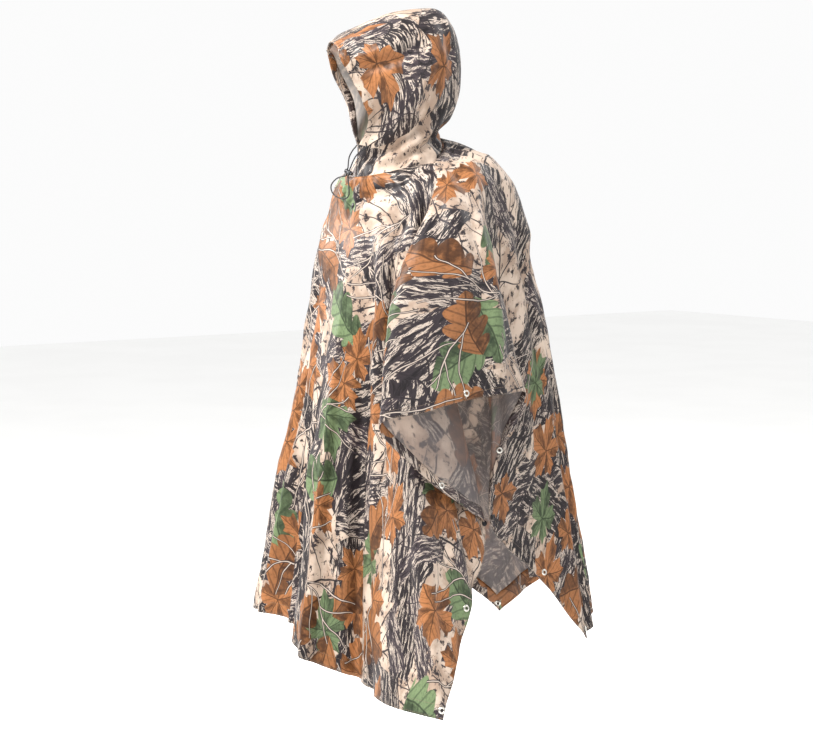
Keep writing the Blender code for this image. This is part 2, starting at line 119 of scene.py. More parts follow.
# One row per hood section, from the neck seam up to the brim, in the hood's own directions:
# forward, sideways, up.
HOOD_SECTIONS = (
    # edge fwd, side,  up      side fwd, side,  up       crown fwd, up
    (0.1120, 0.0012, -0.0520,  0.010, 0.0980, -0.0260,  -0.0820,  0.030),
    (0.1040, 0.0012, -0.0200,  0.005, 0.0880,  0.0060,  -0.0760,  0.046),
    (0.0970, 0.0040,  0.0120,  0.000, 0.0860,  0.0380,  -0.1040,  0.074),
    (0.0880, 0.036,  0.0450,  -.012, 0.0930,  0.0800,  -0.1190,  0.110),
    (0.0860, 0.066,  0.0800,  -.018, 0.0990,  0.1250,  -0.1210,  0.158),
    (0.0980, 0.078,  0.1150,  -.010, 0.1000,  0.1700,  -0.1170,  0.208),
    (0.1140, 0.077,  0.1450,  0.012, 0.0930,  0.2080,  -0.1060,  0.252),
    (0.1260, 0.074,  0.1680,  0.044, 0.0800,  0.2300,  -0.0660,  0.284),
    (0.1340, 0.072,  0.1800,  0.082, 0.0680,  0.2320,   0.0240,  0.2730),
    (0.1380, 0.070,  0.1880,  0.116, 0.0560,  0.2250,   0.0920,  0.2420),
    (0.1400, 0.068,  0.1920,  0.140, 0.0440,  0.2090,   0.1420,  0.2150),
)


# Creases: soft troughs (negative) and ridges drawn on the flat sheet, from one point to another,
# (across, along), with a half width and a depth.
CREASES = (
    # from            to               half    depth
    (0.05, -0.16, 0.16, -0.62, 0.016, -0.0060),
    (0.11, -0.14, 0.30, -0.70, 0.018, -0.0070),
    (0.02, -0.30, 0.06, -0.92, 0.020, -0.0055),
    (0.18, -0.22, 0.44, -0.86, 0.022, -0.0060),
    (0.24, -0.52, 0.28, -0.98, 0.024, 0.0060),
    (0.40, -0.50, 0.55, -0.98, 0.026, -0.0070),
    (0.52, -0.62, 0.62, -0.95, 0.020, 0.0055),
    (0.30, -0.30, 0.40, -0.40, 0.012, 0.0035),
    (0.16, -0.09, 0.46, -0.24, 0.014, -0.0055),
    (0.20, -0.03, 0.60, -0.11, 0.018, -0.0060),
    (0.18, 0.04, 0.52, 0.06, 0.014, -0.0050),
    (0.34, -0.14, 0.64, -0.15, 0.013, 0.0045),
    (0.42, 0.02, 0.68, 0.10, 0.016, -0.0050),
    (0.30, 0.09, 0.58, 0.17, 0.012, 0.0040),
    (0.14, 0.12, 0.40, 0.52, 0.018, -0.0065),
    (0.24, 0.22, 0.55, 0.72, 0.020, 0.0060),
    (0.10, 0.20, 0.22, 0.80, 0.022, -0.0070),
    (0.36, 0.46, 0.60, 0.95, 0.022, -0.0060),
    (0.02, 0.24, -0.02, 0.92, 0.022, -0.0070),
    (-0.12, 0.20, -0.24, 0.85, 0.020, -0.0065),
    (-0.20, 0.24, -0.50, 0.78, 0.020, 0.0060),
    (-0.16, 0.08, -0.48, 0.10, 0.014, -0.0050),
    (-0.20, -0.04, -0.60, -0.10, 0.018, -0.0055),
    (-0.34, 0.02, -0.66, 0.06, 0.014, 0.0045),
    (-0.14, -0.14, -0.30, -0.70, 0.018, -0.0065),
    (-0.06, -0.18, -0.12, -0.90, 0.018, -0.0060),
    (-0.22, -0.30, -0.46, -0.90, 0.022, 0.0060),
    (-0.42, -0.40, -0.60, -0.90, 0.020, -0.0060),
    (0.08, -0.12, 0.02, -0.20, 0.010, -0.0040),
    (0.13, -0.10, 0.09, -0.22, 0.010, -0.0040),
    (0.15, -0.05, 0.20, -0.16, 0.010, -0.0035),
    (-0.09, -0.12, -0.03, -0.21, 0.010, -0.0040),
)


def hex_colour(code):
    """sRGB hex to linear RGBA."""
    def channel(v):
        v /= 255
        return v / 12.92 if v <= 0.04045 else ((v + 0.055) / 1.055) ** 2.4
    return tuple(channel(int(code[k:k + 2], 16)) for k in (1, 3, 5)) + (1.0,)


def scaled(tone, share):
    """A linear colour made lighter or darker."""
    return tuple(min(v * share, 1.0) for v in tuple(tone)[:3]) + (1.0,)


def between(a, b, share):
    """A linear colour part of the way from one to another."""
    return tuple(u * (1 - share) + v * share for u, v in zip(a, b))


# ---- the drape --------------------------------------------------------------------------
def curve_through(points, samples, closed=False):
    """Smooth curve through the points, read at fractional point numbers."""
    pts = np.asarray(points, float)
    n = len(pts)
    s = np.asarray(samples, float)
    i = np.floor(s).astype(int)
    if closed:
        a, b, c, d = (pts[(i + k) % n] for k in (-1, 0, 1, 2))
    else:
        padded = np.concatenate(([2 * pts[0] - pts[1]], pts, [2 * pts[-1] - pts[-2]]))
        i = np.clip(i, 0, n - 2)
        a, b, c, d = (padded[i + k] for k in (0, 1, 2, 3))
    w = (s - i)[:, None]
    return b + 0.5 * w * (c - a + w * (2 * a - 5 * b + 4 * c - d + w * (3 * (b - c) + d - a)))


def ring(turn, half_x, front, back, z_front, z_side, z_back):
    """Point of an egg-shaped ring round the neck; turn 0 is the front, 90 the wearer's left."""
    s, c = math.sin(turn), math.cos(turn)
    reach = front if c > 0 else back
    z_end = z_front if c > 0 else z_back
    return np.array([half_x * s, -reach * c, z_side + (z_end - z_side) * abs(c) ** 1.4])


def neck_ring(turn):
    return ring(turn, NECK_HALF_X, NECK_FRONT, NECK_BACK, NECK_Z_FRONT, NECK_Z_SIDE, NECK_Z_BACK)


def smooth(x, low, high):
    w = np.clip((np.asarray(x, float) - low) / (high - low), 0, 1)
    return w * w * (3 - 2 * w)


def unit(v):
    return v / np.maximum(np.linalg.norm(v, axis=-1, keepdims=True), 1e-12)


def grid_normals(grid, closed):
    down = np.gradient(grid, axis=1)
    across = (np.roll(grid, -1, 0) - np.roll(grid, 1, 0)) if closed else np.gradient(grid, axis=0)
    return unit(np.cross(down, across))


def crease_height(cut, creases):
    """Height of all the creases at flat positions."""
    out = np.zeros(cut.shape[:-1])
    for ax, ay, bx, by, half, depth in creases:
        a, b = np.array((ax, ay)), np.array((bx, by))
        along = b - a
        length = np.linalg.norm(along)
        w = ((cut - a) @ along) / length ** 2
        side = np.array((-along[1], along[0])) / length
        wander = 0.35 * half * np.sin(w * 9.0 + ax * 40)
        off = ((cut - a) @ side + wander) / half
        ends = smooth(w, -0.06, 0.22) * (1 - smooth(w, 0.72, 1.06))
        out += depth * ends * np.exp(-off * off)
    return out


def fold_height(grid, across, down, folds, loop=None):
    """Height of the folds over a grid; each is a soft trough or ridge along a line of grid places."""
    out = np.zeros(grid.shape[:2])
    for places, half, depth in folds:
        fine = curve_through(places, np.linspace(0, len(places) - 1, (len(places) - 1) * 6 + 1))
        spots, here = [], []
        for a, d in fine:
            a = a % loop if loop else a
            i, j = np.argmin(np.abs(across - a)), np.argmin(np.abs(down - d))
            spots.append(grid[i, j])
            here.append(a)
        best, share, lane = np.full(out.shape, 9.0), np.zeros(out.shape), np.zeros(out.shape)
        for k in range(len(spots) - 1):
            way = spots[k + 1] - spots[k]
            w = np.clip(((grid - spots[k]) @ way) / max(way @ way, 1e-9), 0, 1)
            gap = np.linalg.norm(grid - spots[k] - w[..., None] * way, axis=2)
            near = gap < best
            best[near], share[near], lane[near] = gap[near], (k + w[near]) / (len(spots) - 1), here[k]
        side = np.abs(across[:, None] - lane)
        if loop:
            side = np.minimum(side, loop - side)
        ends = smooth(share, 0, 0.16) * (1 - smooth(share, 0.84, 1.0))
        out += depth * ends * np.exp(-(best / half) ** 2) * (1 - smooth(side, 2.0, 3.0))
    return out


def crumple(points, size, strength, seed):
    """Even, fixed noise over a grid of points."""
    flat = points.reshape(-1, 3) / size + seed
    values = [noise.noise(Vector(p), noise_basis="PERLIN_ORIGINAL") for p in flat]
    return np.array(values).reshape(points.shape[:-1]) * strength


class Drape:
    """Fine grid of the draped sheet, with its flat position and outward normals."""

    def __init__(self, steps, rows):
        n = len(FOLDS)
        turns = np.array([row[1] for row in FOLDS] + [360.0])
        samples = np.arange(n * steps) / steps
        mids = curve_through([row[2:5] for row in FOLDS], samples, closed=True)
        hems = self.hem_line(samples)
        cuts = np.array([row[8:10] for row in FOLDS])
        i = np.floor(samples).astype(int)
        w = (samples - i)[:, None]
        hem_cut = cuts[i] * (1 - w) + cuts[(i + 1) % n] * w
        angle = np.radians(turns[i] + (turns[i + 1] - turns[i]) * w[:, 0])
        t = np.linspace(0, 1, rows)
        grid = np.empty((len(samples), rows, 3))
        for k in range(len(samples)):
            yoke = ring(angle[k], YOKE_HALF_X, YOKE_FRONT, YOKE_BACK,
                        YOKE_Z_FRONT, YOKE_Z_SIDE, YOKE_Z_BACK)
            dense = curve_through((neck_ring(angle[k]), yoke, mids[k], hems[k]), np.linspace(0, 3, 61))
            run = np.concatenate(([0], np.cumsum(np.linalg.norm(np.diff(dense, axis=0), axis=1))))
            run /= run[-1]
            for axis in range(3):
                grid[k, :, axis] = np.interp(t, run, dense[:, axis])
        neck_cut = np.stack((SHEET_NECK_X * np.sin(angle), -SHEET_NECK_Y * np.cos(angle)), 1)
        self.cut = neck_cut[:, None] * (1 - t[:, None]) + hem_cut[:, None] * t[:, None]
        for _ in range(2):
            grid[:, 1:-1] = (grid[:, :-2] + 2 * grid[:, 1:-1] + grid[:, 2:]) / 4
        # Small pleats run down the sheet; they are calm where two layers lie close.
        hem_run = np.concatenate(([0], np.cumsum(np.linalg.norm(np.diff(hem_cut, axis=0), axis=1))))
        close = sum(share * np.exp(-((samples - NAMES.index(name)) / reach) ** 2)
                    for name, reach, share in CLOSE_LAYERS)
        calm = np.clip(1 - close, 0.12, 1)[:, None]
        broad = np.exp(-((samples - 3.0) / 1.5) ** 2) + 0.8 * np.exp(-((samples - 15.5) / 1.3) ** 2)
        broad += 0.5 * np.exp(-((samples - 30.0) / 0.8) ** 2)
        broad += 0.5 * np.exp(-((samples - 22.0) / 0.8) ** 2)
        hidden = np.exp(-((samples - 19.8) / 1.7) ** 2) + 0.6 * np.exp(-((samples - 31.6) / 0.9) ** 2)
        uneven = 0.75 + 0.45 * np.sin(samples * 1.9 + 0.6) + 0.25 * np.sin(samples * 4.3 + 2.0)
        strength = ((1 - 0.75 * np.clip(broad, 0, 1)) * uneven + 1.3 * hidden)[:, None]
        p = hem_run[:, None]
        tt = t[None, :]
        wide = p * 2 * math.pi / PLEAT_WIDE + 1.6 * np.sin(p * 3.1) + 0.8 * tt
        narrow = p * 2 * math.pi / PLEAT_FINE + 2.0 * np.sin(p * 2.3) - 1.1 * tt
        pleat = PLEAT_WIDE_DEPTH * np.sin(wide) + PLEAT_FINE_DEPTH * np.sin(narrow)
        pleat = pleat * smooth(tt, 0.16, 0.9) * calm * strength
        gather = 0.0032 * np.sin(angle[:, None] * 27 + 1.5 * np.sin(angle[:, None] * 3))
        gather = gather * (1 - smooth(tt, 0.02, 0.13))
        normals = grid_normals(grid, True)
        height = pleat + gather + crease_height(self.cut, CREASES) * (0.35 + 0.65 * calm) * 0.8
        height += fold_height(grid, samples, t, LONG_FOLDS, loop=len(FOLDS)) * (0.5 + 0.5 * calm)
        height += crumple(grid, 0.085, 0.0042, 3.1) * smooth(tt, 0.0, 0.1) * (0.4 + 0.6 * calm)
        height += crumple(grid, 0.030, 0.0014, 7.7) * smooth(tt, 0.0, 0.1) * (0.5 + 0.5 * calm)
        height *= smooth(tt, 0.0, 0.03)
        self.grid = grid + normals * height[..., None]
        self.normals = grid_normals(self.grid, True)
        self.samples, self.steps, self.rows, self.t = samples, steps, rows, t

    @staticmethod
    def hem_line(samples):
        """The lower edge, smooth along each side of the sheet and sharp at its four corners."""
        points = np.array([row[5:8] for row in FOLDS])
        corners = [k for k, name in enumerate(NAMES) if name.endswith("tip")]
        out = np.empty((len(samples), 3))
        for a, b in zip(corners, corners[1:] + [corners[0] + len(FOLDS)]):
            line = points[np.arange(a, b + 1) % len(FOLDS)]
            local = (samples - a) % len(FOLDS)
            mine = local < b - a
            out[mine] = curve_through(line, local[mine])
        return out

    def at(self, across, along):
        """Place and outward normal at a flat position."""
        gap = np.linalg.norm(self.cut - np.array((across, along)), axis=2)
        i, j = np.unravel_index(np.argmin(gap), gap.shape)
        return self.grid[i, j], self.normals[i, j]


def hood_line(section, across):
    """Forward, sideways and up of one hood section, from the left edge over the crown to the right."""
    ef, es, eu, sf, ss, su, cf, cu = section
    five = ((ef, es, eu), (sf, ss, su), (cf, 0.0, cu), (sf, -ss, su), (ef, -es, eu))
    return curve_through(five, across)


def hood_grid(rows_per_section, across):
    """Fine grid of the hood: [section, across] points from the left edge to the right edge."""
    table = np.array(HOOD_SECTIONS)
    rows = curve_through(table, np.linspace(0, len(table) - 1, (len(table) - 1) * rows_per_section + 1))
    grid = np.empty((len(rows), len(across), 3))
    seam = []
    for a in across:
        point = neck_ring(math.radians(0.7 + 358.6 * a / 4))
        seam.append(point * (NECK_TUCK_SHARE, NECK_TUCK_SHARE, 1) - (0, 0, NECK_TUCK))
    seam = np.array(seam)
    for k, section in enumerate(rows):
        f, s, u = hood_line(section, across).T
        middle = math.exp(-((k / rows_per_section - 5.4) / 2.0) ** 2)
        f = f + FAR_EDGE_SAG * smooth(across, 3.3, 4) * middle
        lift = smooth(u, -0.03, 0.11)
        roll, turn = HOOD_ROLL * lift, HOOD_TURN * lift
        s, u = s * np.cos(roll) + u * np.sin(roll) * 0.5, u - s * np.sin(roll)
        grid[k] = np.stack((s * np.cos(turn) + f * np.sin(turn),
                            -f * np.cos(turn) + s * np.sin(turn), u), 1)
        w = k / rows_per_section
        if w < 1:
            blend = smooth(1 - w, 0, 1)
            if k == 0:
                grid[k] = seam
            else:
                first = hood_line(table[0], across)
                base = np.stack((first[:, 1], -first[:, 0], first[:, 2]), 1)
                grid[k] += (seam - base) * blend
    return grid


# Main folds that run down the sheet: (fold number, share of the way down), half width, depth.
LONG_FOLDS = (
    (((3.3, 0.06), (3.1, 0.12), (3.2, 0.19), (2.8, 0.26), (2.4, 0.36), (2.1, 0.46),
      (2.0, 0.60), (2.1, 0.78)), 0.021, -0.018),
    (((4.0, 0.06), (4.0, 0.12), (4.1, 0.20), (4.0, 0.28), (4.0, 0.38)), 0.021, 0.014),
    (((1.3, 0.12), (1.4, 0.27), (1.2, 0.40), (1.0, 0.52), (0.9, 0.68), (0.9, 0.90)), 0.021, -0.015),
    (((32.0, 0.25), (32.2, 0.50), (32.5, 0.65), (32.3, 0.85)), 0.020, 0.010),
    (((10.9, 0.08), (10.7, 0.20), (10.3, 0.38), (10.3, 0.55), (10.5, 0.80)), 0.020, -0.010),
    (((8.6, 0.20), (9.0, 0.35), (9.2, 0.50), (9.4, 0.72)), 0.022, -0.008),
    (((15.4, 0.18), (15.3, 0.47), (15.3, 0.65), (15.2, 0.88)), 0.026, -0.011),
    (((3.0, 0.44), (3.0, 0.58), (3.0, 0.73), (3.0, 0.90)), 0.026, 0.011),
    (((3.6, 0.72), (3.4, 0.81), (3.3, 0.93)), 0.018, -0.008),
    (((17.2, 0.15), (17.5, 0.50), (17.4, 0.90)), 0.026, -0.014),
    (((18.8, 0.25), (18.6, 0.60), (18.7, 0.92)), 0.026, 0.010),
    (((20.2, 0.12), (20.3, 0.50), (20.5, 0.92)), 0.028, -0.016),
    (((21.6, 0.20), (21.8, 0.60), (21.6, 0.92)), 0.026, -0.012),
    (((23.2, 0.15), (23.6, 0.50), (23.4, 0.88)), 0.024, -0.010),
    (((26.6, 0.12), (26.9, 0.40), (26.7, 0.75)), 0.022, -0.010),
    (((28.6, 0.10), (28.8, 0.30), (28.9, 0.50)), 0.020, -0.012),
    (((30.6, 0.20), (31.4, 0.60), (31.6, 0.92)), 0.026, -0.014),
    (((32.8, 0.05), (34.2, 0.045), (35.8, 0.04), (37.4, 0.05)), 0.010, -0.006),
    (((15.8, 0.06), (16.3, 0.13), (16.6, 0.20), (16.8, 0.30)), 0.055, 0.011),
    (((12.2, 0.055), (14.0, 0.05), (15.6, 0.05)), 0.028, -0.008),
    (((33.6, 0.08), (34.4, 0.07), (35.6, 0.09), (36.8, 0.08)), 0.013, 0.006),
    (((36.4, 0.05), (36.6, 0.09), (36.7, 0.15)), 0.010, -0.007),
    (((40.6, 0.04), (41.2, 0.08), (41.8, 0.15)), 0.012, -0.006),
    (((43.0, 0.05), (43.2, 0.11), (43.1, 0.20)), 0.014, -0.007),
)

# Folds of the hood: (place across from the left edge 0 to the right edge 4, share of the way up).
HOOD_FOLDS = (
    (((0.10, 0.67), (0.40, 0.63), (0.70, 0.60), (1.05, 0.59), (1.40, 0.60)), 0.013, -0.0105),
    (((0.08, 0.74), (0.40, 0.70), (0.80, 0.67), (1.25, 0.66)), 0.015, 0.0085),
    (((0.04, 0.20), (0.34, 0.22), (0.58, 0.31), (0.83, 0.38), (1.05, 0.48)), 0.016, 0.0090),
    (((0.04, 0.12), (0.37, 0.12), (0.80, 0.21), (1.22, 0.26), (1.60, 0.30)), 0.011, -0.0130),
    (((0.20, 0.06), (0.55, 0.10), (1.00, 0.17), (1.45, 0.20)), 0.010, 0.0070),
    (((0.12, 0.02), (0.50, 0.05), (1.00, 0.10), (1.35, 0.12)), 0.009, -0.0080),
    (((0.30, 0.34), (0.60, 0.44), (0.85, 0.54)), 0.014, -0.0060),
    (((1.00, 0.28), (1.25, 0.40), (1.45, 0.52)), 0.012, -0.0060),
    (((1.72, 0.70), (1.60, 0.55), (1.61, 0.42), (1.58, 0.30)), 0.014, -0.0050),
    (((1.20, 0.30), (1.38, 0.42), (1.52, 0.56)), 0.011, 0.0050),
    (((3.90, 0.66), (3.50, 0.62), (3.00, 0.60), (2.60, 0.61)), 0.013, -0.0065),
    (((3.96, 0.13), (3.60, 0.13), (3.10, 0.22), (2.60, 0.28)), 0.011, -0.0110),
    (((3.96, 0.22), (3.60, 0.24), (3.20, 0.36), (2.95, 0.48)), 0.015, 0.0080),
    (((3.80, 0.06), (3.30, 0.12), (2.80, 0.18)), 0.010, 0.0060),
    (((2.40, 0.72), (2.45, 0.50), (2.40, 0.34)), 0.013, -0.0050),
)


# ---- mesh makers ------------------------------------------------------------------------
def link(obj):
    bpy.context.scene.collection.objects.link(obj)
    return obj


def plain_mesh(obj, name):
    """The evaluated object as a new plain mesh object; the first one is removed."""
    graph = bpy.context.evaluated_depsgraph_get()
    data = bpy.data.meshes.new_from_object(obj.evaluated_get(graph))
    data.transform(obj.matrix_world)
    bpy.data.objects.remove(obj, do_unlink=True)
    data.name = name
    return link(bpy.data.objects.new(name, data))


def shell(name, grid, flat, wall, mats, closed=False, keep=None):
    """Cloth from a [column, row] grid: an open surface with Solidify, its flat cut as UV map.

    mats are the materials of the outer side, the inner side and the cut edge."""
    n, m = grid.shape[:2]
    last = n if closed else n - 1
    faces = []
    for i in range(last):
        a, b = i * m, ((i + 1) % n) * m
        for j in range(m - 1):
            if keep is None or keep(i, j):
                faces.append((a + j, a + j + 1, b + j + 1, b + j))
    data = bpy.data.meshes.new(name)
    data.from_pydata(grid.reshape(-1, 3).tolist(), [], faces)
    uv = data.uv_layers.new(name="Cut")
    corner = np.empty(len(data.loops), int)
    data.loops.foreach_get("vertex_index", corner)
    uv.data.foreach_set("uv", flat.reshape(-1, 2)[corner].ravel())
    for mat in mats:
        data.materials.append(mat)
    if keep is not None:
        mesh = bmesh.new()
        mesh.from_mesh(data)
        bmesh.ops.delete(mesh, geom=[v for v in mesh.verts if not v.link_faces], context="VERTS")
        mesh.to_mesh(data)
        mesh.free()
    raw = link(bpy.data.objects.new(name + "_surface", data))
    solid = raw.modifiers.new("Wall", "SOLIDIFY")
    solid.thickness, solid.offset, solid.use_even_offset = wall, 0.0, False
    solid.material_offset = 1 if len(mats) > 1 else 0
    solid.material_offset_rim = 2 if len(mats) > 2 else 0
    piece = plain_mesh(raw, name)
    piece.data.shade_smooth()
    return piece


def turned(name, profile, mat, steps=40):
    """Turned piece about Z from its (radius, height) profile, in its own place at the origin."""
    data = bpy.data.meshes.new(name)
    data.from_pydata([(r, 0, h) for r, h in profile], [(k, k + 1) for k in range(len(profile) - 1)], [])
    data.materials.append(mat)
    obj = link(bpy.data.objects.new(name + "_turning", data))
    screw = obj.modifiers.new("Turn", "SCREW")
    screw.steps = screw.render_steps = steps
    screw.use_merge_vertices, screw.merge_threshold = True, 0.00001
    piece = plain_mesh(obj, name)
    mesh = bmesh.new()
    mesh.from_mesh(piece.data)
    bmesh.ops.recalc_face_normals(mesh, faces=mesh.faces)
    mesh.to_mesh(piece.data)
    mesh.free()
    piece.data.shade_smooth()
    piece.data.set_sharp_from_angle(angle=math.radians(40))
    return piece


def add_input(tree, name, kind, default):
    socket = tree.interface.new_socket(name, in_out="INPUT", socket_type=kind)
    if default is not None:
        socket.default_value = default
    return socket


def scatter_tree(name, source, mat):
    """Geometry Nodes: one copy of the source piece on each point, standing along its normal."""
    tree = bpy.data.node_groups.new(name, "GeometryNodeTree")
    add_input(tree, "Geometry", "NodeSocketGeometry", None)
    add_input(tree, "Size", "NodeSocketFloat", 1.0)
    tree.interface.new_socket("Geometry", in_out="OUTPUT", socket_type="NodeSocketGeometry")
    put = tree.nodes.new
    enter, leave = put("NodeGroupInput"), put("NodeGroupOutput")
    info, place, real, paint = (put(k) for k in (
        "GeometryNodeObjectInfo", "GeometryNodeInstanceOnPoints", "GeometryNodeRealizeInstances",
        "GeometryNodeSetMaterial"))
    info.inputs["Object"].default_value = source
    paint.inputs["Material"].default_value = mat
    turn, lie = put("FunctionNodeAlignRotationToVector"), put("FunctionNodeAlignRotationToVector")
    up, run = put("GeometryNodeInputNamedAttribute"), put("GeometryNodeInputNamedAttribute")
    up.data_type = run.data_type = "FLOAT_VECTOR"
    up.inputs["Name"].default_value, run.inputs["Name"].default_value = "stand", "run"
    turn.axis, lie.axis, lie.pivot_axis = "Z", "X", "Z"
    wire = tree.links.new
    wire(enter.outputs["Geometry"], place.inputs["Points"])
    wire(info.outputs["Geometry"], place.inputs["Instance"])
    wire(up.outputs[0], turn.inputs["Vector"])
    wire(turn.outputs[0], lie.inputs["Rotation"])
    wire(run.outputs[0], lie.inputs["Vector"])
    wire(lie.outputs[0], place.inputs["Rotation"])
    wire(enter.outputs["Size"], place.inputs["Scale"])
    wire(place.outputs[0], real.inputs[0])
    wire(real.outputs[0], paint.inputs["Geometry"])
    wire(paint.outputs[0], leave.inputs[0])
    return tree


def scatter(name, source, seats, mat, size=1.0):
    """Copies of source on seats, (place, normal, run direction), as one plain mesh."""
    data = bpy.data.meshes.new(name)
    data.from_pydata([tuple(s[0]) for s in seats], [], [])
    for label, k in (("stand", 1), ("run", 2)):
        layer = data.attributes.new(label, "FLOAT_VECTOR", "POINT")
        layer.data.foreach_set("vector", np.array([s[k] for s in seats], float).ravel())
    points = link(bpy.data.objects.new(name + "_points", data))
    mod = points.modifiers.new("Scatter", "NODES")
    tree = scatter_tree(name, source, mat)
    mod.node_group = tree
    mod[tree.interface.items_tree["Size"].identifier] = size
    piece = plain_mesh(points, name)
    piece.data.shade_smooth()
    bpy.data.objects.remove(source, do_unlink=True)
    return piece


# ---- materials --------------------------------------------------------------------------
def add(tree, kind, settings=None, links=None):
    """A shader node with its settings (attributes or input defaults) and its input links."""
    node = tree.nodes.new(kind)
    for key, value in (settings or {}).items():
        if hasattr(node, key):
            setattr(node, key, value)
        else:
            node.inputs[key].default_value = value
    for key, source in (links or {}).items():
        tree.links.new(source, node.inputs[key])
    return node


def math_node(tree, operation, a, b=None, c=None, clamp=False):
    node = add(tree, "ShaderNodeMath", {"operation": operation, "use_clamp": clamp})
    for k, value in enumerate((a, b, c)):
        if value is None:
            continue
        if isinstance(value, (int, float)):
            node.inputs[k].default_value = value
        else:
            tree.links.new(value, node.inputs[k])
    return node.outputs[0]


def step(tree, value, low, high):
    """Soft step of a value from 0 at low to 1 at high."""
    return add(tree, "ShaderNodeMapRange",
               {"interpolation_type": "SMOOTHSTEP", "From Min": low, "From Max": high},
               {"Value": value}).outputs[0]


def mix(tree, factor, a, b):
    node = add(tree, "ShaderNodeMix", {"data_type": "RGBA"})
    for k, value in ((0, factor), (6, a), (7, b)):
        if isinstance(value, (int, float, tuple)):
            node.inputs[k].default_value = value
        else:
            tree.links.new(value, node.inputs[k])
    return node.outputs[2]


def vector_math(tree, operation, a, b=None):
    node = add(tree, "ShaderNodeVectorMath", {"operation": operation})
    for k, value in enumerate((a, b)):
        if value is None:
            continue
        if isinstance(value, tuple):
            node.inputs[k].default_value = value
        else:
            tree.links.new(value, node.inputs[k])
    return node


def noise_node(tree, vector, scale, detail=3.0, rough=0.55, distortion=0.0):
    return add(tree, "ShaderNodeTexNoise",
               {"Scale": scale, "Detail": detail, "Roughness": rough, "Distortion": distortion},
               {"Vector": vector}).outputs["Fac"]


def rotated_cell(tree, place, cell, shift, loose=0.75):
    """Scattered spots one cell apart: position in the spot's own turned frame, and its chances."""
    moved = vector_math(tree, "ADD", place, (shift, shift * 0.37, 0)).outputs[0]
    in_cells = vector_math(tree, "MULTIPLY", moved, (1 / cell, 1 / cell, 0)).outputs[0]
    cells = add(tree, "ShaderNodeTexVoronoi",
                {"voronoi_dimensions": "2D", "Scale": 1.0, "Randomness": loose}, {"Vector": in_cells})
    local = vector_math(tree, "SUBTRACT", in_cells, cells.outputs["Position"]).outputs[0]
    chance = add(tree, "ShaderNodeSeparateColor", links={"Color": cells.outputs["Color"]}).outputs
    turn = math_node(tree, "MULTIPLY", chance[0], 6.2832)
    own = add(tree, "ShaderNodeVectorRotate", {"rotation_type": "Z_AXIS"},
              {"Vector": local, "Angle": turn})
    return own.outputs[0], chance


def wave(tree, value, factor, offset=0.0, kind="SINE"):
    phase = math_node(tree, "MULTIPLY_ADD", value, factor, offset)
    return math_node(tree, "ABSOLUTE", math_node(tree, kind, phase))


def palm_leaf(tree, place, cell, shift, size, share):
    """Broad five-lobed toothed leaves: (mask, vein, light side)."""
    own, chance = rotated_cell(tree, place, cell, shift)
    split = add(tree, "ShaderNodeSeparateXYZ", links={"Vector": own}).outputs
    angle = math_node(tree, "ARCTAN2", split[1], split[0])
    radius = vector_math(tree, "LENGTH", own).outputs["Value"]
    lobe = wave(tree, angle, 2.5, kind="COSINE")
    reach = math_node(tree, "MULTIPLY_ADD", math_node(tree, "POWER", lobe, 0.75), 0.52, 0.48)
    for value, factor, offset in ((wave(tree, angle, 7.5), -0.20, 1.06),
                                  (math_node(tree, "COSINE", angle), 0.17, 0.83),
                                  (chance[1], 0.3 * size, 0.8 * size)):
        reach = math_node(tree, "MULTIPLY", reach, math_node(tree, "MULTIPLY_ADD", value, factor, offset))
    inside = step(tree, math_node(tree, "SUBTRACT", reach, radius), -0.002, 0.010)
    mask = math_node(tree, "MULTIPLY", inside, math_node(tree, "LESS_THAN", chance[2], share))
    off = math_node(tree, "MULTIPLY", wave(tree, angle, 2.5), radius)
    main = math_node(tree, "SUBTRACT", 1.0, step(tree, off, 0.006, 0.020))
    side = wave(tree, math_node(tree, "MULTIPLY_ADD", off, -0.9, radius), 34.0)
    ribs = math_node(tree, "MULTIPLY", step(tree, side, 0.90, 0.99), 0.5)
    halves = math_node(tree, "SINE", math_node(tree, "MULTIPLY", angle, 5.0))
    light = math_node(tree, "MULTIPLY_ADD", halves, 0.5, 0.5)
    return mask, math_node(tree, "MAXIMUM", main, ribs), light


def long_leaf(tree, place, cell, shift, size, share):
    """Long leaves with round side lobes: (mask, vein, light side)."""
    own, chance = rotated_cell(tree, place, cell, shift)
    bent = add(tree, "ShaderNodeSeparateXYZ", links={"Vector": own}).outputs
    x = math_node(tree, "MULTIPLY", bent[0], 1 / size)
    y = math_node(tree, "MULTIPLY", bent[1], 1 / size)
    y = math_node(tree, "MULTIPLY_ADD", math_node(tree, "MULTIPLY", x, x), 0.16, y)
    ends = math_node(tree, "POWER", math_node(tree, "ABSOLUTE", x), 2.6)
    body = math_node(tree, "SUBTRACT", 1.0, ends)
    away = math_node(tree, "ABSOLUTE", y)
    lobe = wave(tree, math_node(tree, "MULTIPLY_ADD", away, -0.55, x), 5.2)
    lobe = math_node(tree, "POWER", lobe, 0.6)
    width = math_node(tree, "MULTIPLY", body, math_node(tree, "MULTIPLY_ADD", lobe, 0.34, 0.30))
    inside = step(tree, math_node(tree, "SUBTRACT", width, away), -0.006, 0.022)
    mask = math_node(tree, "MULTIPLY", inside, math_node(tree, "LESS_THAN", chance[2], share))
    main = math_node(tree, "SUBTRACT", 1.0, step(tree, away, 0.012, 0.034))
    rib = wave(tree, math_node(tree, "MULTIPLY_ADD", away, -0.75, x), 10.4, 1.57)
    ribs = math_node(tree, "MULTIPLY", step(tree, rib, 0.91, 0.99), 0.6)
    return mask, math_node(tree, "MAXIMUM", main, ribs), step(tree, y, -0.1, 0.1)


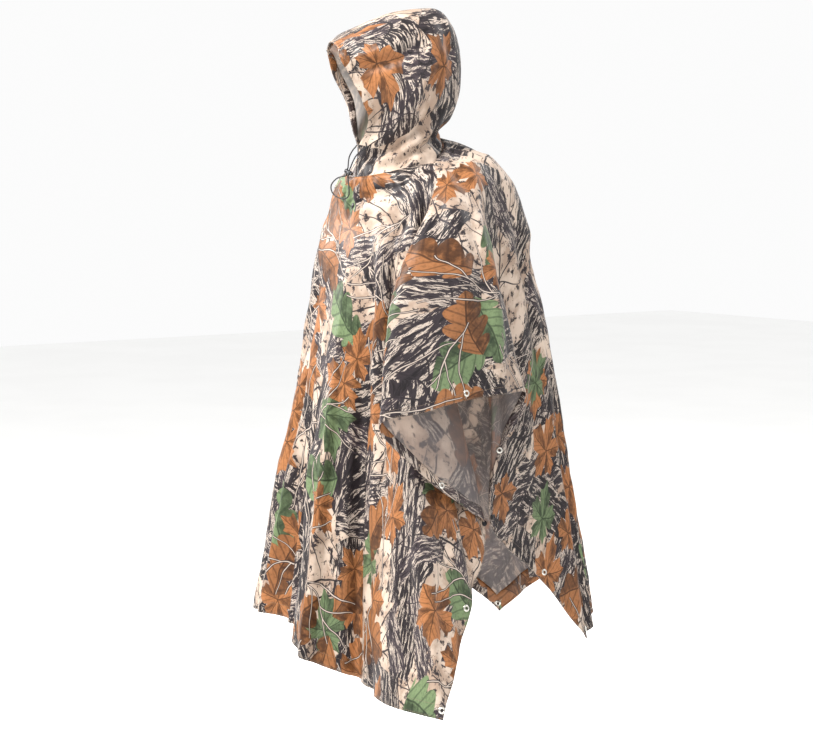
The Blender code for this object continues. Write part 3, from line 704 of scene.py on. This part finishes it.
def branches(tree, place, cell, shift, width, share):
    """Fallen branches with cracked bark: (mask, noise of the streaks)."""
    own, chance = rotated_cell(tree, place, cell, shift, 0.9)
    seed = math_node(tree, "MULTIPLY", chance[1], 37.0)
    split = add(tree, "ShaderNodeSeparateXYZ", links={"Vector": own}).outputs

    def stretched(x, y):
        links = {"X": math_node(tree, "MULTIPLY", split[0], x),
                 "Y": math_node(tree, "MULTIPLY", split[1], y), "Z": seed}
        return add(tree, "ShaderNodeCombineXYZ", links=links).outputs[0]

    streak = noise_node(tree, stretched(3.2, 17.0), 1.6, 5.0, 0.68, 0.45)
    rough = noise_node(tree, stretched(5.0, 9.0), 1.0, 3.0)
    ragged = math_node(tree, "MULTIPLY_ADD", rough, 0.42, -0.21)
    away = math_node(tree, "ADD", math_node(tree, "ABSOLUTE", split[1]), ragged)
    mask = math_node(tree, "SUBTRACT", 1.0, step(tree, away, width - 0.012, width + 0.012))
    mask = math_node(tree, "MULTIPLY", mask, math_node(tree, "LESS_THAN", chance[2], share))
    return mask, streak


def twigs(tree, place, cell, shift, thick, share):
    """Forked twigs: (mask, edge)."""
    own, chance = rotated_cell(tree, place, cell, shift, 0.85)
    split = add(tree, "ShaderNodeSeparateXYZ", links={"Vector": own}).outputs
    u, v = split[0], split[1]
    phase = math_node(tree, "MULTIPLY_ADD", chance[1], 9.0, math_node(tree, "MULTIPLY", u, 9.0))
    wobble = math_node(tree, "MULTIPLY", math_node(tree, "SINE", phase), 0.03)
    v = math_node(tree, "ADD", v, wobble)
    taper = math_node(tree, "MULTIPLY_ADD", math_node(tree, "ABSOLUTE", u), -0.8 * thick, thick)
    gap = math_node(tree, "ABSOLUTE", v)
    for slope, start in ((0.75, 0.06), (-0.62, 0.20), (-0.95, -0.16), (0.55, -0.30)):
        along = math_node(tree, "SUBTRACT", u, start)
        fork = math_node(tree, "ABSOLUTE", math_node(tree, "MULTIPLY_ADD", along, -slope, v))
        late = math_node(tree, "MULTIPLY", math_node(tree, "LESS_THAN", along, 0.0), 9.0)
        gap = math_node(tree, "MINIMUM", gap, math_node(tree, "ADD", fork, late))
    over = math_node(tree, "SUBTRACT", gap, taper)
    here = math_node(tree, "LESS_THAN", chance[2], share)
    within = [math_node(tree, "SUBTRACT", 1.0, step(tree, over, low, high))
              for low, high in ((-0.003, 0.003), (0.006, 0.013))]
    core, edge = (math_node(tree, "MULTIPLY", value, here) for value in within)
    return core, edge


def woodland_print(tree):
    """Generic woodland print in flat-cut metres: bark, twigs and lobed leaves on a tan ground."""
    tints = bpy.context.scene.poncho_colour
    sand, earth = tuple(tints.sand), tuple(tints.earth)
    bark_tone, crack = tuple(tints.bark), tuple(tints.crack)
    uv = add(tree, "ShaderNodeUVMap", {"uv_map": "Cut"}).outputs[0]
    bend = add(tree, "ShaderNodeTexNoise", {"Scale": 6.0, "Detail": 3.0}, {"Vector": uv})
    bend = vector_math(tree, "SUBTRACT", bend.outputs["Color"], (0.5, 0.5, 0.5)).outputs[0]
    bend = vector_math(tree, "MULTIPLY", bend, (0.045, 0.045, 0)).outputs[0]
    place = vector_math(tree, "ADD", uv, bend).outputs[0]
    # Ground of dry grass and sand, with dark crumbs.
    blotch = noise_node(tree, place, 13.0, 4.0, 0.6)
    ground = mix(tree, step(tree, blotch, 0.40, 0.60), sand, earth)
    crumbs = noise_node(tree, place, 62.0, 5.0, 0.68, 0.3)
    crumbs = math_node(tree, "MULTIPLY_ADD", blotch, 0.35, crumbs)
    ground = mix(tree, step(tree, crumbs, 0.735, 0.755), ground, between(earth, bark_tone, 0.82))
    ground = mix(tree, step(tree, crumbs, 0.775, 0.790), ground, scaled(bark_tone, 0.75))
    # Bark, dark with pale cracks along the grain.
    for cell, shift, width, share, tone in ((0.235, 2.3, 0.25, 0.80, 1.0),
                                            (0.190, 7.7, 0.22, 0.74, 0.66),
                                            (0.150, 13.1, 0.17, 0.66, 1.6)):
        mask, streak = branches(tree, place, cell, shift, width, share)
        bark = mix(tree, step(tree, streak, 0.36, 0.47),
                   scaled(bark_tone, 0.28), scaled(bark_tone, tone))
        bark = mix(tree, step(tree, streak, 0.535, 0.552), bark, scaled(crack, 0.92))
        bark = mix(tree, step(tree, streak, 0.600, 0.617), bark, between(bark_tone, crack, 0.09))
        bark = mix(tree, step(tree, streak, 0.650, 0.670), bark, scaled(crack, 1.06))
        ground = mix(tree, mask, ground, bark)
    for cell, shift, thick, share, tone in ((0.21, 4.4, 0.012, 0.8, 0.7), (0.17, 9.2, 0.010, 0.8, 1.05)):
        core, _ = twigs(tree, place, cell, shift, thick, share)
        ground = mix(tree, core, ground, scaled(bark_tone, tone))
    mottle = noise_node(tree, place, 46.0, 4.0, 0.62)
    fine = noise_node(tree, place, 150.0, 2.0)
    rust, green = (tints.rust_leaf, tints.rust_vein), (tints.green_leaf, tints.green_vein)
    for leaf, cell, shift, size, share, pair, strength in (
            (long_leaf, 0.170, 3.3, 0.50, 0.17, green, 1.05),
            (palm_leaf, 0.165, 11.9, 0.47, 0.42, rust, 1.12),
            (palm_leaf, 0.190, 17.3, 0.40, 0.12, green, 0.92),
            (long_leaf, 0.150, 21.7, 0.52, 0.24, rust, 0.86),
            (palm_leaf, 0.150, 31.1, 0.44, 0.22, rust, 1.0)):
        light, deep = scaled(pair[0], strength), scaled(pair[1], strength)
        mid = between(light, deep, 0.62)
        mask, vein, side = leaf(tree, place, cell, shift, size, share)
        tone = math_node(tree, "MULTIPLY_ADD", side, 0.45, math_node(tree, "MULTIPLY", mottle, 1.1))
        shade = mix(tree, step(tree, tone, 0.52, 0.86), mid, light)
        shade = mix(tree, step(tree, math_node(tree, "MULTIPLY_ADD", blotch, 0.9, tone), 0.82, 1.05),
                    between(deep, mid, 0.45), shade)
        shade = mix(tree, math_node(tree, "MULTIPLY", step(tree, fine, 0.45, 0.7), 0.30), shade, deep)
        shade = mix(tree, math_node(tree, "MULTIPLY", vein, 0.80), shade, deep)
        ground = mix(tree, mask, ground, shade)
    core, edge = twigs(tree, place, 0.19, 27.9, 0.006, 0.6)
    ground = mix(tree, edge, ground, scaled(bark_tone, 0.75))
    return mix(tree, core, ground, crack)


def cloth_material(name, fade, roughness, sheen, glow, milky):
    """Coated polyester taffeta: a smooth, slightly shiny woven cloth that lets some light through.

    fade: how far the print fades, and to which tone; glow: share of light let through;
    milky: how far that light is whitened by the coating.
    """
    mat = bpy.data.materials.new(name)
    mat.use_nodes = True
    tree = mat.node_tree
    tree.nodes.clear()
    base = woodland_print(tree)
    # Fade the print towards a tone: a paler wrong side, and on the hood's wrong side also painted light for the light
    # that comes through.
    if fade:
        base = mix(tree, fade[0], base, fade[1])
    place = add(tree, "ShaderNodeTexCoord").outputs["Object"]
    crush = noise_node(tree, place, 34.0, 4.0, 0.6, 0.5)
    weave = noise_node(tree, place, 900.0, 1.0)
    height = math_node(tree, "MULTIPLY_ADD", weave, 0.05, crush)
    bump = add(tree, "ShaderNodeBump", {"Strength": 0.42, "Distance": 0.0035},
               {"Height": height}).outputs[0]
    bsdf = add(tree, "ShaderNodeBsdfPrincipled",
               {"Roughness": roughness, "Sheen Weight": sheen, "Sheen Roughness": 0.4,
                "Specular IOR Level": 0.28}, {"Base Color": base, "Normal": bump})
    lit = mix(tree, milky, base, hex_colour("#FFF8F0"))
    through = add(tree, "ShaderNodeBsdfTranslucent", links={"Color": lit})
    both = add(tree, "ShaderNodeMixShader", {"Fac": glow})
    tree.links.new(bsdf.outputs[0], both.inputs[1])
    tree.links.new(through.outputs[0], both.inputs[2])
    out = add(tree, "ShaderNodeOutputMaterial", links={"Surface": both.outputs[0]})
    out.is_active_output = True
    return mat


def solid_material(name, tone, roughness, metallic, bump_scale, bump_strength, dark):
    """One-colour finish with a fine worn variation and grain."""
    mat = bpy.data.materials.new(name)
    mat.use_nodes = True
    tree = mat.node_tree
    tree.nodes.clear()
    place = add(tree, "ShaderNodeTexCoord").outputs["Object"]
    wear = noise_node(tree, place, bump_scale * 0.4, 3.0)
    base = mix(tree, math_node(tree, "MULTIPLY", step(tree, wear, 0.35, 0.7), 0.35),
               tone, hex_colour(dark))
    grain = noise_node(tree, place, bump_scale, 2.0)
    bump = add(tree, "ShaderNodeBump", {"Strength": bump_strength, "Distance": 0.0004},
               {"Height": grain}).outputs[0]
    bsdf = add(tree, "ShaderNodeBsdfPrincipled", {"Roughness": roughness, "Metallic": metallic},
               {"Base Color": base, "Normal": bump})
    add(tree, "ShaderNodeOutputMaterial", links={"Surface": bsdf.outputs[0]})
    return mat


STORE = {}


def finish(label):
    """Each finish is made once and shared by the pieces that have it."""
    tints = bpy.context.scene.poncho_colour
    # name, fade, roughness, sheen, glow, milky
    cloths = {
        # The coated side: a crisp print with a slight shine.
        "outside": ("printed taffeta", None, 0.44, 0.04, 0.30, 0.06),
        # The wrong side: the same print, paler and duller.
        "inside": ("printed taffeta wrong side", (0.45, tuple(tints.lining)), 0.62, 0.03, 0.50, 0.50),
        # The wrong side in the hood: the print faded nearly to white, painted light for the light that comes through,
        # on top of the light the cloth really lets through.
        "hood inside": ("printed taffeta hood inside", (0.66, hex_colour("#F2EFEC")),
                        0.6, 0.03, 0.5, 0.80),
        # The turned hem: a second layer, its print faded a little towards dark brown.
        "hem": ("printed taffeta hem", (0.12, hex_colour("#5A3A22")), 0.50, 0.04, 0.22, 0.10),
    }
    # name, tone, roughness, metallic, grain scale, grain strength, tone of the wear
    solids = {
        # Bright plate with faint darker wear.
        "nickel": ("nickel plated brass", tuple(tints.metal), 0.28, 1.0, 500, 0.08, "#8C8880"),
        # Dark satin metal.
        "black_snap": ("black oxide steel", hex_colour("#1E1D1F"), 0.35, 0.7, 500, 0.08, "#0C0C0D"),
        # Matt black with the fine relief of a braid.
        "cord": ("braided polyester cord", tuple(tints.cord), 0.85, 0.0, 1600, 0.9, "#3A383B"),
        # Smooth black plastic with soft highlights.
        "plastic": ("moulded acetal", hex_colour("#17171A"), 0.38, 0.0, 900, 0.06, "#2A2A2E"),
        # Dull tan twist.
        "thread": ("polyester thread", hex_colour("#8A7866"), 0.8, 0.0, 2500, 0.5, "#3C3128"),
    }
    if label not in STORE:
        make, values = ((cloth_material, cloths) if label in cloths else (solid_material, solids))
        STORE[label] = make(*values[label])
    return STORE[label]


# ---- settings ---------------------------------------------------------------------------
class PonchoClothSettings(bpy.types.PropertyGroup):
    steps: bpy.props.IntProperty(name="Columns per fold",
                                 description="Mesh columns from fold line to fold line",
                                 default=12, min=4, max=14)
    rows: bpy.props.IntProperty(name="Rows", description="Mesh rows from neck seam to hem",
                                default=118, min=40)
    wall: bpy.props.FloatProperty(name="Cloth", description="Thickness of one layer of cloth",
                                  default=0.0012, subtype="DISTANCE", unit="LENGTH")
    hem_wall: bpy.props.FloatProperty(name="Hem wall", description="Thickness of the turned hem",
                                      default=0.0010, subtype="DISTANCE", unit="LENGTH")
    layer_gap: bpy.props.FloatProperty(name="Layer gap", description="Clearance between two sewn layers",
                                       default=0.0004, subtype="DISTANCE", unit="LENGTH")


class PonchoTrimSettings(bpy.types.PropertyGroup):
    ring: bpy.props.FloatProperty(name="Grommet", description="Outer radius of a grommet",
                                  default=0.0068, subtype="DISTANCE", unit="LENGTH")
    hole: bpy.props.FloatProperty(name="Grommet hole", description="Radius of a grommet's hole",
                                  default=0.0034, subtype="DISTANCE", unit="LENGTH")
    snap: bpy.props.FloatProperty(name="Snap", description="Radius of a press snap",
                                  default=0.0056, subtype="DISTANCE", unit="LENGTH")
    stitch: bpy.props.FloatProperty(name="Stitch", description="Length of one stitch with its gap",
                                    default=0.0042, subtype="DISTANCE", unit="LENGTH")
    cord: bpy.props.FloatProperty(name="Cord", description="Diameter of the drawcord",
                                  default=0.0027, subtype="DISTANCE", unit="LENGTH")


def colour_property(label, about, code):
    return bpy.props.FloatVectorProperty(name=label, description=about, subtype="COLOR", size=4,
                                         min=0, max=1, default=hex_colour(code))


class PonchoColourSettings(bpy.types.PropertyGroup):
    sand: colour_property("Sand", "Pale ground of the print", "#CBB9A9")
    earth: colour_property("Earth", "Darker patches of the ground", "#A58F7E")
    bark: colour_property("Bark", "Dark wood of the print", "#30292D")
    crack: colour_property("Bark streaks", "Pale streaks of the bark", "#C8B9AC")
    rust_leaf: colour_property("Rust leaf", "Lit side of the rust leaves", "#A06A41")
    rust_vein: colour_property("Rust vein", "Veins and dark parts of the rust leaves", "#2E170A")
    green_leaf: colour_property("Green leaf", "Lit side of the green leaves", "#6C7E5A")
    green_vein: colour_property("Green vein", "Veins and dark parts of the green leaves", "#1B2618")
    lining: colour_property("Wrong side", "Coating on the wrong side of the cloth", "#A89F9E")
    metal: colour_property("Grommets", "Nickel plate of the grommets", "#C9C6BE")
    cord: colour_property("Cord", "Drawcord", "#1A191B")


DRAPED = {}


def draped():
    """The fine drape, worked out once."""
    if not DRAPED:
        cloth = bpy.context.scene.poncho_cloth
        DRAPED["sheet"] = Drape(cloth.steps, cloth.rows)
    return DRAPED["sheet"]


HOOD_ACROSS = np.concatenate(([0, 0.045, 0.09, 0.13], np.linspace(0.16, 3.84, 105), [3.87, 3.91, 3.955, 4]))
# Grommets and snaps: place on the flat sheet and kind.
SEATS = (
    # across, along, kind
    (0.700, -1.005, "ring"), (0.701, -0.76, "ring"), (0.701, -0.34, "ring"), (0.701, 0.0, "ring"),
    (0.701, 0.34, "ring"), (0.701, 0.76, "ring"), (0.700, 1.005, "ring"), (-0.700, 1.005, "ring"),
    (-0.701, 0.76, "ring"), (-0.701, 0.0, "ring"), (-0.701, -0.76, "ring"), (-0.700, -1.005, "ring"),
    (0.701, -0.50, "snap"), (0.701, 0.50, "snap"), (-0.701, -0.50, "snap"), (-0.701, 0.50, "snap"),
    (0.0, -0.150, "snap"),
)


def nodes(*starts):
    return [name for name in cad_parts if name.startswith(starts)]


def seat_frame(across, along, side, lift):
    """Seat of a small piece: place, normal and a direction along the cloth."""
    sheet = draped()
    place, normal = sheet.at(across, along)
    normal = normal * side
    run = unit(np.cross(normal, (0.3, 0.2, 1.0)))
    return place + normal * lift, normal, run


class PONCHO_OT_sheet(bpy.types.Operator):
    """Drape the one-piece sheet from the neck seam and turn its hems"""
    bl_idname = "poncho.sheet"
    bl_label = "Sheet and hems"

    def execute(self, context):
        cloth = context.scene.poncho_cloth
        sheet = draped()
        body = shell("poncho_sheet", sheet.grid, sheet.cut, cloth.wall,
                     (finish("outside"), finish("inside"), finish("hem")), closed=True)
        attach(body, "root")
        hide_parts(*nodes("sheet_"))
        lift = cloth.wall / 2 + cloth.hem_wall / 2 + cloth.layer_gap
        inner = (sheet.grid - sheet.normals * lift)[:, -HEM_ROWS - 1:]
        flat = sheet.cut[:, -HEM_ROWS - 1:] * (-1, 1) + (0.31, 0.17)
        hem = shell("turned_hem", inner, flat, cloth.hem_wall, (finish("hem"),), closed=True)
        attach(hem, "root")
        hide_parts(*nodes("hem_"))
        return {"FINISHED"}


class PONCHO_OT_hood(bpy.types.Operator):
    """Shape the hood over the neck seam, with its drawcord casing"""
    bl_idname = "poncho.hood"
    bl_label = "Hood"

    def execute(self, context):
        cloth = context.scene.poncho_cloth
        grid = hood_grid(HOOD_ROWS, HOOD_ACROSS)
        n, m = grid.shape[:2]
        a = HOOD_ACROSS[None, :]
        h = np.linspace(0, 1, n)[:, None]
        flat = np.stack(np.broadcast_arrays(0.16 * a + 3.4, 0.36 * h + 0.05 * np.abs(a - 2) + 0.2), 2)
        out = grid_normals(grid, False)
        near = np.minimum(a, 4 - a)
        edge_calm = smooth(near, 0.0, 0.35)
        gather = 0.0042 * np.sin(a * 17 + 9 * h + 1.2 * np.sin(a * 4)) * smooth(0.36 - h, 0, 0.3) * smooth(h, 0, 0.04)
        slack = 0.0020 * np.sin(a * 5.3 - 11 * h + 1.0) * smooth(h, 0.2, 0.5)
        height = (gather + slack) * edge_calm * smooth(1 - h, 0.0, 0.12)
        height += fold_height(grid.transpose(1, 0, 2), HOOD_ACROSS, h[:, 0], HOOD_FOLDS).T * (
            0.35 + 0.65 * edge_calm) * smooth(h, 0.0, 0.06)
        height += crumple(grid, 0.045, 0.0030, 5.5) * edge_calm * smooth(h, 0, 0.05) * smooth(1 - h, 0, 0.1)
        grid = grid + out * height[..., None]
        hood = shell("hood_cloth", grid, flat, cloth.wall,
                     (finish("outside"), finish("hood inside"), finish("hem")))
        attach(hood, "root")
        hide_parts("hood")
        out = grid_normals(grid, False)
        lift = cloth.wall / 2 + cloth.hem_wall / 2 + cloth.layer_gap
        start = CASING_FIRST_SECTION * HOOD_ROWS
        casing = shell("drawcord_casing", grid - out * lift, flat * (-1, 1), cloth.hem_wall, (finish("hem"),),
                       keep=lambda i, j: i >= start and (
                           j < HOOD_EDGE or j >= m - 1 - HOOD_EDGE or i >= n - 1 - BRIM_ROWS))
        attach(casing, "root")
        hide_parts("hood_casing")
        DRAPED["hood"] = (grid, out)
        return {"FINISHED"}


class PONCHO_OT_stitches(bpy.types.Operator):
    """Sew the hems, the casing and the neck seam"""
    bl_idname = "poncho.stitches"
    bl_label = "Stitches"

    def execute(self, context):
        cloth, trim = context.scene.poncho_cloth, context.scene.poncho_trim
        sheet = draped()
        grid, out = DRAPED["hood"]
        lines = [(sheet.grid[:, -HEM_ROWS], sheet.normals[:, -HEM_ROWS], True),
                 (sheet.grid[:, -2] * 0.35 + sheet.grid[:, -1] * 0.65, sheet.normals[:, -1], True),
                 (sheet.grid[:, 1] * 0.6 + sheet.grid[:, 0] * 0.4, sheet.normals[:, 1], True),
                 (grid[:, HOOD_EDGE], out[:, HOOD_EDGE], False),
                 (grid[:, -1 - HOOD_EDGE], out[:, -1 - HOOD_EDGE], False),
                 (grid[-HOOD_ROWS, HOOD_EDGE:-HOOD_EDGE], out[-HOOD_ROWS, HOOD_EDGE:-HOOD_EDGE], False)]
        seats = []
        for line, normals, closed in lines:
            if closed:
                line, normals = np.concatenate((line, line[:1])), np.concatenate((normals, normals[:1]))
            run = np.concatenate(([0], np.cumsum(np.linalg.norm(np.diff(line, axis=0), axis=1))))
            marks = np.arange(trim.stitch, run[-1], trim.stitch)
            spots = np.stack([np.interp(marks, run, line[:, k]) for k in range(3)], 1)
            ups = unit(np.stack([np.interp(marks, run, normals[:, k]) for k in range(3)], 1))
            ahead = unit(np.gradient(spots, axis=0))
            for spot, up, way in zip(spots, ups, ahead):
                seats.append((spot + up * (cloth.wall / 2 + 0.0001), up, way))
        mesh = bmesh.new()
        bmesh.ops.create_uvsphere(mesh, u_segments=6, v_segments=4, radius=1.0,
                                  matrix=Matrix.Diagonal((trim.stitch * 0.40, 0.00032, 0.00028, 1)))
        data = bpy.data.meshes.new("stitch")
        mesh.to_mesh(data)
        mesh.free()
        stitch = link(bpy.data.objects.new("stitch", data))
        sewn = scatter("stitches", stitch, seats, finish("thread"))
        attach(sewn, "root")
        return {"FINISHED"}


class PONCHO_OT_hardware(bpy.types.Operator):
    """Set the grommets with their washers, and the press snaps"""
    bl_idname = "poncho.hardware"
    bl_label = "Grommets and snaps"

    def execute(self, context):
        cloth, trim = context.scene.poncho_cloth, context.scene.poncho_trim
        r, hole = trim.ring, trim.hole
        rim = [(hole, 0.0), (hole - 0.0001, 0.0009), (hole + 0.0006, 0.0015), (hole + 0.0014, 0.0017),
               (r - 0.0012, 0.0012), (r - 0.0003, 0.0006), (r, 0.0), (hole, 0.0)]
        rings = [s for s in SEATS if s[2] == "ring"]
        snaps = [s for s in SEATS if s[2] == "snap"]
        lift = cloth.wall / 2 + SNAP_CLEAR
        under = lift + cloth.hem_wall + cloth.layer_gap
        made = (
            ("grommets", rim, rings, 1, lift, "nickel", "grommet_metal", nodes("grommet_")),
            ("washers", rim, rings, -1, under, "nickel", "grommet_metal", nodes("washer_")),
            ("press_snaps", [(0.0, 0.0024), (trim.snap * 0.45, 0.0022), (trim.snap * 0.62, 0.0016),
                             (trim.snap * 0.85, 0.0015), (trim.snap, 0.0008), (trim.snap, 0.0), (0.0, 0.0)],
             snaps, 1, lift, "black_snap", "snap_metal", nodes("snap_")),
        )
        for name, profile, seats, side, up, look, slot, stands_for in made:
            unit_piece = turned(name + "_one", profile, finish(look), steps=32)
            placed = [seat_frame(a, b, side, up) for a, b, _ in seats]
            piece = scatter(name, unit_piece, placed, finish(look))
            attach(piece, "root")
            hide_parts(*stands_for)
        return {"FINISHED"}


TOGGLE_AT = Vector((0.000, -0.1275, -0.0420))
TOGGLE_AXIS = Vector((0.90, 0.16, -0.34)).normalized()
TOGGLE_RADIUS, TOGGLE_LENGTH, BUTTON_LENGTH, STRAND = 0.0045, 0.0150, 0.0050, 0.0033


def cord_route():
    """Route from the left end of the casing, through the toggle, round the loop and back up.

    Both ends start inside the casing, where the hood's edge hangs, and come out through its cloth.
    """
    half_up = TOGGLE_RADIUS + 0.0007
    left, right = TOGGLE_AT + TOGGLE_AXIS * STRAND, TOGGLE_AT - TOGGLE_AXIS * STRAND
    up = Vector((0, 0, 1))
    up = (up - TOGGLE_AXIS * up.dot(TOGGLE_AXIS)).normalized()
    down_left = [(0.0072, -0.0893, 0.0162), (0.0142, -0.0925, 0.0070), (0.0122, -0.1030, 0.0005), (0.0082, -0.1160, -0.0130),
                 left + up * (half_up + 0.004), left + up * half_up]
    up_right = [right + up * half_up, right + up * (half_up + 0.004), (-0.0140, -0.1150, -0.0130),
                (-0.0232, -0.1000, 0.0010), (-0.0288, -0.0890, 0.0080), (-0.0203, -0.0862, 0.0172)]
    loop = [left - up * half_up, left - up * (half_up + 0.004), (0.0050, -0.1290, -0.0700),
            (0.0060, -0.1300, -0.0880), (-0.0060, -0.1320, -0.0955), (-0.0260, -0.1345, -0.0925),
            (-0.0450, -0.1350, -0.0830), (-0.0490, -0.1345, -0.0680), (-0.0300, -0.1330, -0.0545),
            right - up * (half_up + 0.004), right - up * half_up]
    return [tuple(p) for p in down_left + loop + up_right]


class PONCHO_OT_drawcord(bpy.types.Operator):
    """Lead the drawcord through its toggle, with its loop"""
    bl_idname = "poncho.drawcord"
    bl_label = "Drawcord and toggle"

    def execute(self, context):
        trim = context.scene.poncho_trim
        route = cord_route()
        points = curve_through(route, np.linspace(0, len(route) - 1, (len(route) - 1) * 8 + 1))
        data = bpy.data.curves.new("drawcord", "CURVE")
        data.dimensions, data.bevel_depth, data.bevel_resolution = "3D", trim.cord / 2, 4
        data.use_fill_caps = True
        spline = data.splines.new("POLY")
        spline.points.add(len(points) - 1)
        for point, co in zip(spline.points, points):
            point.co = (*co, 1.0)
        data.materials.append(finish("cord"))
        cord = link(bpy.data.objects.new("drawcord", data))
        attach(cord, "root")
        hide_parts(*nodes("cord_"))
        r, half = TOGGLE_RADIUS, TOGGLE_LENGTH / 2
        barrel = turned("toggle_barrel_fine",
                        [(0, half), (r * 0.78, half), (r * 0.82, half - 0.0004), (r * 0.90, half),
                         (r * 0.98, half - 0.0005), (r, half - 0.0014), (r, 0.0040), (r * 0.93, 0.0034), (r * 0.93, -0.0034), (r, -0.0040),
                         (r, -half + 0.0014), (r * 0.9, -half + 0.0002), (0, -half)], finish("plastic"))
        button = turned("toggle_button_fine",
                        [(0, BUTTON_LENGTH), (r * 0.6, BUTTON_LENGTH), (r * 0.74, BUTTON_LENGTH - 0.0007),
                         (r * 0.76, 0.0006), (r * 0.7, 0.0), (0, 0.0)], finish("plastic"))
        spin = TOGGLE_AXIS.to_track_quat("Z", "Y").to_matrix().to_4x4()
        barrel.data.transform(Matrix.Translation(TOGGLE_AT) @ spin)
        button.data.transform(Matrix.Translation(TOGGLE_AT + TOGGLE_AXIS * (half + 0.0003)) @ spin)
        for piece, node in ((barrel, "toggle_barrel"), (button, "toggle_button")):
            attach(piece, "root")
            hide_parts(node)
        return {"FINISHED"}


class PONCHO_OT_declare(bpy.types.Operator):
    """Takes no step of its own: the flat cuts of the draped sheet and the hood are their Cut UV maps."""
    bl_idname = "poncho.declare"
    bl_label = "Flat cuts"

    def execute(self, context):
        return {"FINISHED"}


class PONCHO_OT_stage(bpy.types.Operator):
    """Set the pale floor, the soft studio light and the camera"""
    bl_idname = "poncho.stage"
    bl_label = "Stage"

    def execute(self, context):
        azimuth, elevation, distance = math.radians(54.0), math.radians(5.5), 4.25
        right = Vector((math.cos(azimuth), math.sin(azimuth), 0))
        back = Vector((math.sin(azimuth) * math.cos(elevation), -math.cos(azimuth) * math.cos(elevation),
                       math.sin(elevation)))
        up = back.cross(right)
        aim = right * 0.0131 - up * 0.4414
        data = bpy.data.cameras.new("camera")
        data.lens, data.sensor_width, data.clip_end = 93.16, 36.0, 100.0
        camera = link(bpy.data.objects.new("camera", data))
        place = aim + back * distance
        camera.matrix_world = Matrix((
            (right.x, up.x, back.x, place.x), (right.y, up.y, back.y, place.y),
            (right.z, up.z, back.z, place.z), (0, 0, 0, 1)))
        context.scene.camera = camera
        mesh = bmesh.new()
        bmesh.ops.create_grid(mesh, x_segments=1, y_segments=1, size=12.0,
                              matrix=Matrix.Translation((0, 0, FLOOR_Z)))
        floor_data = bpy.data.meshes.new("floor")
        mesh.to_mesh(floor_data)
        mesh.free()
        floor = link(bpy.data.objects.new("floor", floor_data))
        paper = solid_material("white paper", hex_colour("#F7F7F6"), 0.9, 0.0, 4.0, 0.0, "#F1F1F0")
        floor_data.materials.append(paper)
        for name, spot, size, power, tint in (
                ("key", (0.5, -2.0, 2.5), 1.3, 280.0, (1.0, 0.985, 0.96)),
                ("fill", (4.2, 1.0, 1.2), 3.0, 45.0, (0.97, 0.985, 1.0)),
                ("back", (-0.3, 3.4, 1.8), 2.5, 60.0, (1.0, 1.0, 1.0)),
                ("far side", (-2.6, -1.5, 1.1), 1.6, 150.0, (1.0, 0.99, 0.97))):
            lamp_data = bpy.data.lights.new(name, "AREA")
            lamp_data.size, lamp_data.energy, lamp_data.color = size, power, tint
            lamp = link(bpy.data.objects.new(name, lamp_data))
            lamp.location = spot
            lamp.rotation_euler = (Vector((0, 0, -0.35)) - Vector(spot)).to_track_quat("-Z", "Y").to_euler()
        world = bpy.data.worlds.new("studio")
        world.use_nodes = True
        world.node_tree.nodes["Background"].inputs["Color"].default_value = (1.0, 1.0, 1.0, 1.0)
        world.node_tree.nodes["Background"].inputs["Strength"].default_value = 0.97
        context.scene.world = world
        context.scene.view_settings.view_transform = "Standard"
        return {"FINISHED"}


class PONCHO_PT_panel(bpy.types.Panel):
    """The poncho's sizes and its pieces"""
    bl_idname = "PONCHO_PT_panel"
    bl_label = "Rain poncho"
    bl_space_type = "VIEW_3D"
    bl_region_type = "UI"
    bl_category = "Poncho"

    def draw(self, context):
        layout = self.layout
        scene = context.scene
        for group in (scene.poncho_cloth, scene.poncho_trim, scene.poncho_colour):
            box = layout.box()
            for key in group.__annotations__:
                box.prop(group, key)
        for operator in OPERATORS:
            layout.operator(operator.bl_idname)


OPERATORS = (PONCHO_OT_stage, PONCHO_OT_drawcord, PONCHO_OT_sheet, PONCHO_OT_hood, PONCHO_OT_stitches,
             PONCHO_OT_hardware, PONCHO_OT_declare)
CLASSES = (PonchoClothSettings, PonchoTrimSettings, PonchoColourSettings) + OPERATORS + (PONCHO_PT_panel,)


def register():
    for cls in CLASSES:
        bpy.utils.register_class(cls)
    bpy.types.Scene.poncho_cloth = bpy.props.PointerProperty(type=PonchoClothSettings)
    bpy.types.Scene.poncho_trim = bpy.props.PointerProperty(type=PonchoTrimSettings)
    bpy.types.Scene.poncho_colour = bpy.props.PointerProperty(type=PonchoColourSettings)


def unregister():
    del bpy.types.Scene.poncho_colour
    del bpy.types.Scene.poncho_trim
    del bpy.types.Scene.poncho_cloth
    for cls in reversed(CLASSES):
        bpy.utils.unregister_class(cls)


def main():
    register()
    bpy.ops.poncho.stage()
    bpy.ops.poncho.drawcord()
    bpy.ops.poncho.sheet()
    bpy.ops.poncho.hood()
    bpy.ops.poncho.stitches()
    bpy.ops.poncho.hardware()
    bpy.ops.poncho.declare()
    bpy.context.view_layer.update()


if __name__ == "__main__":
    main()
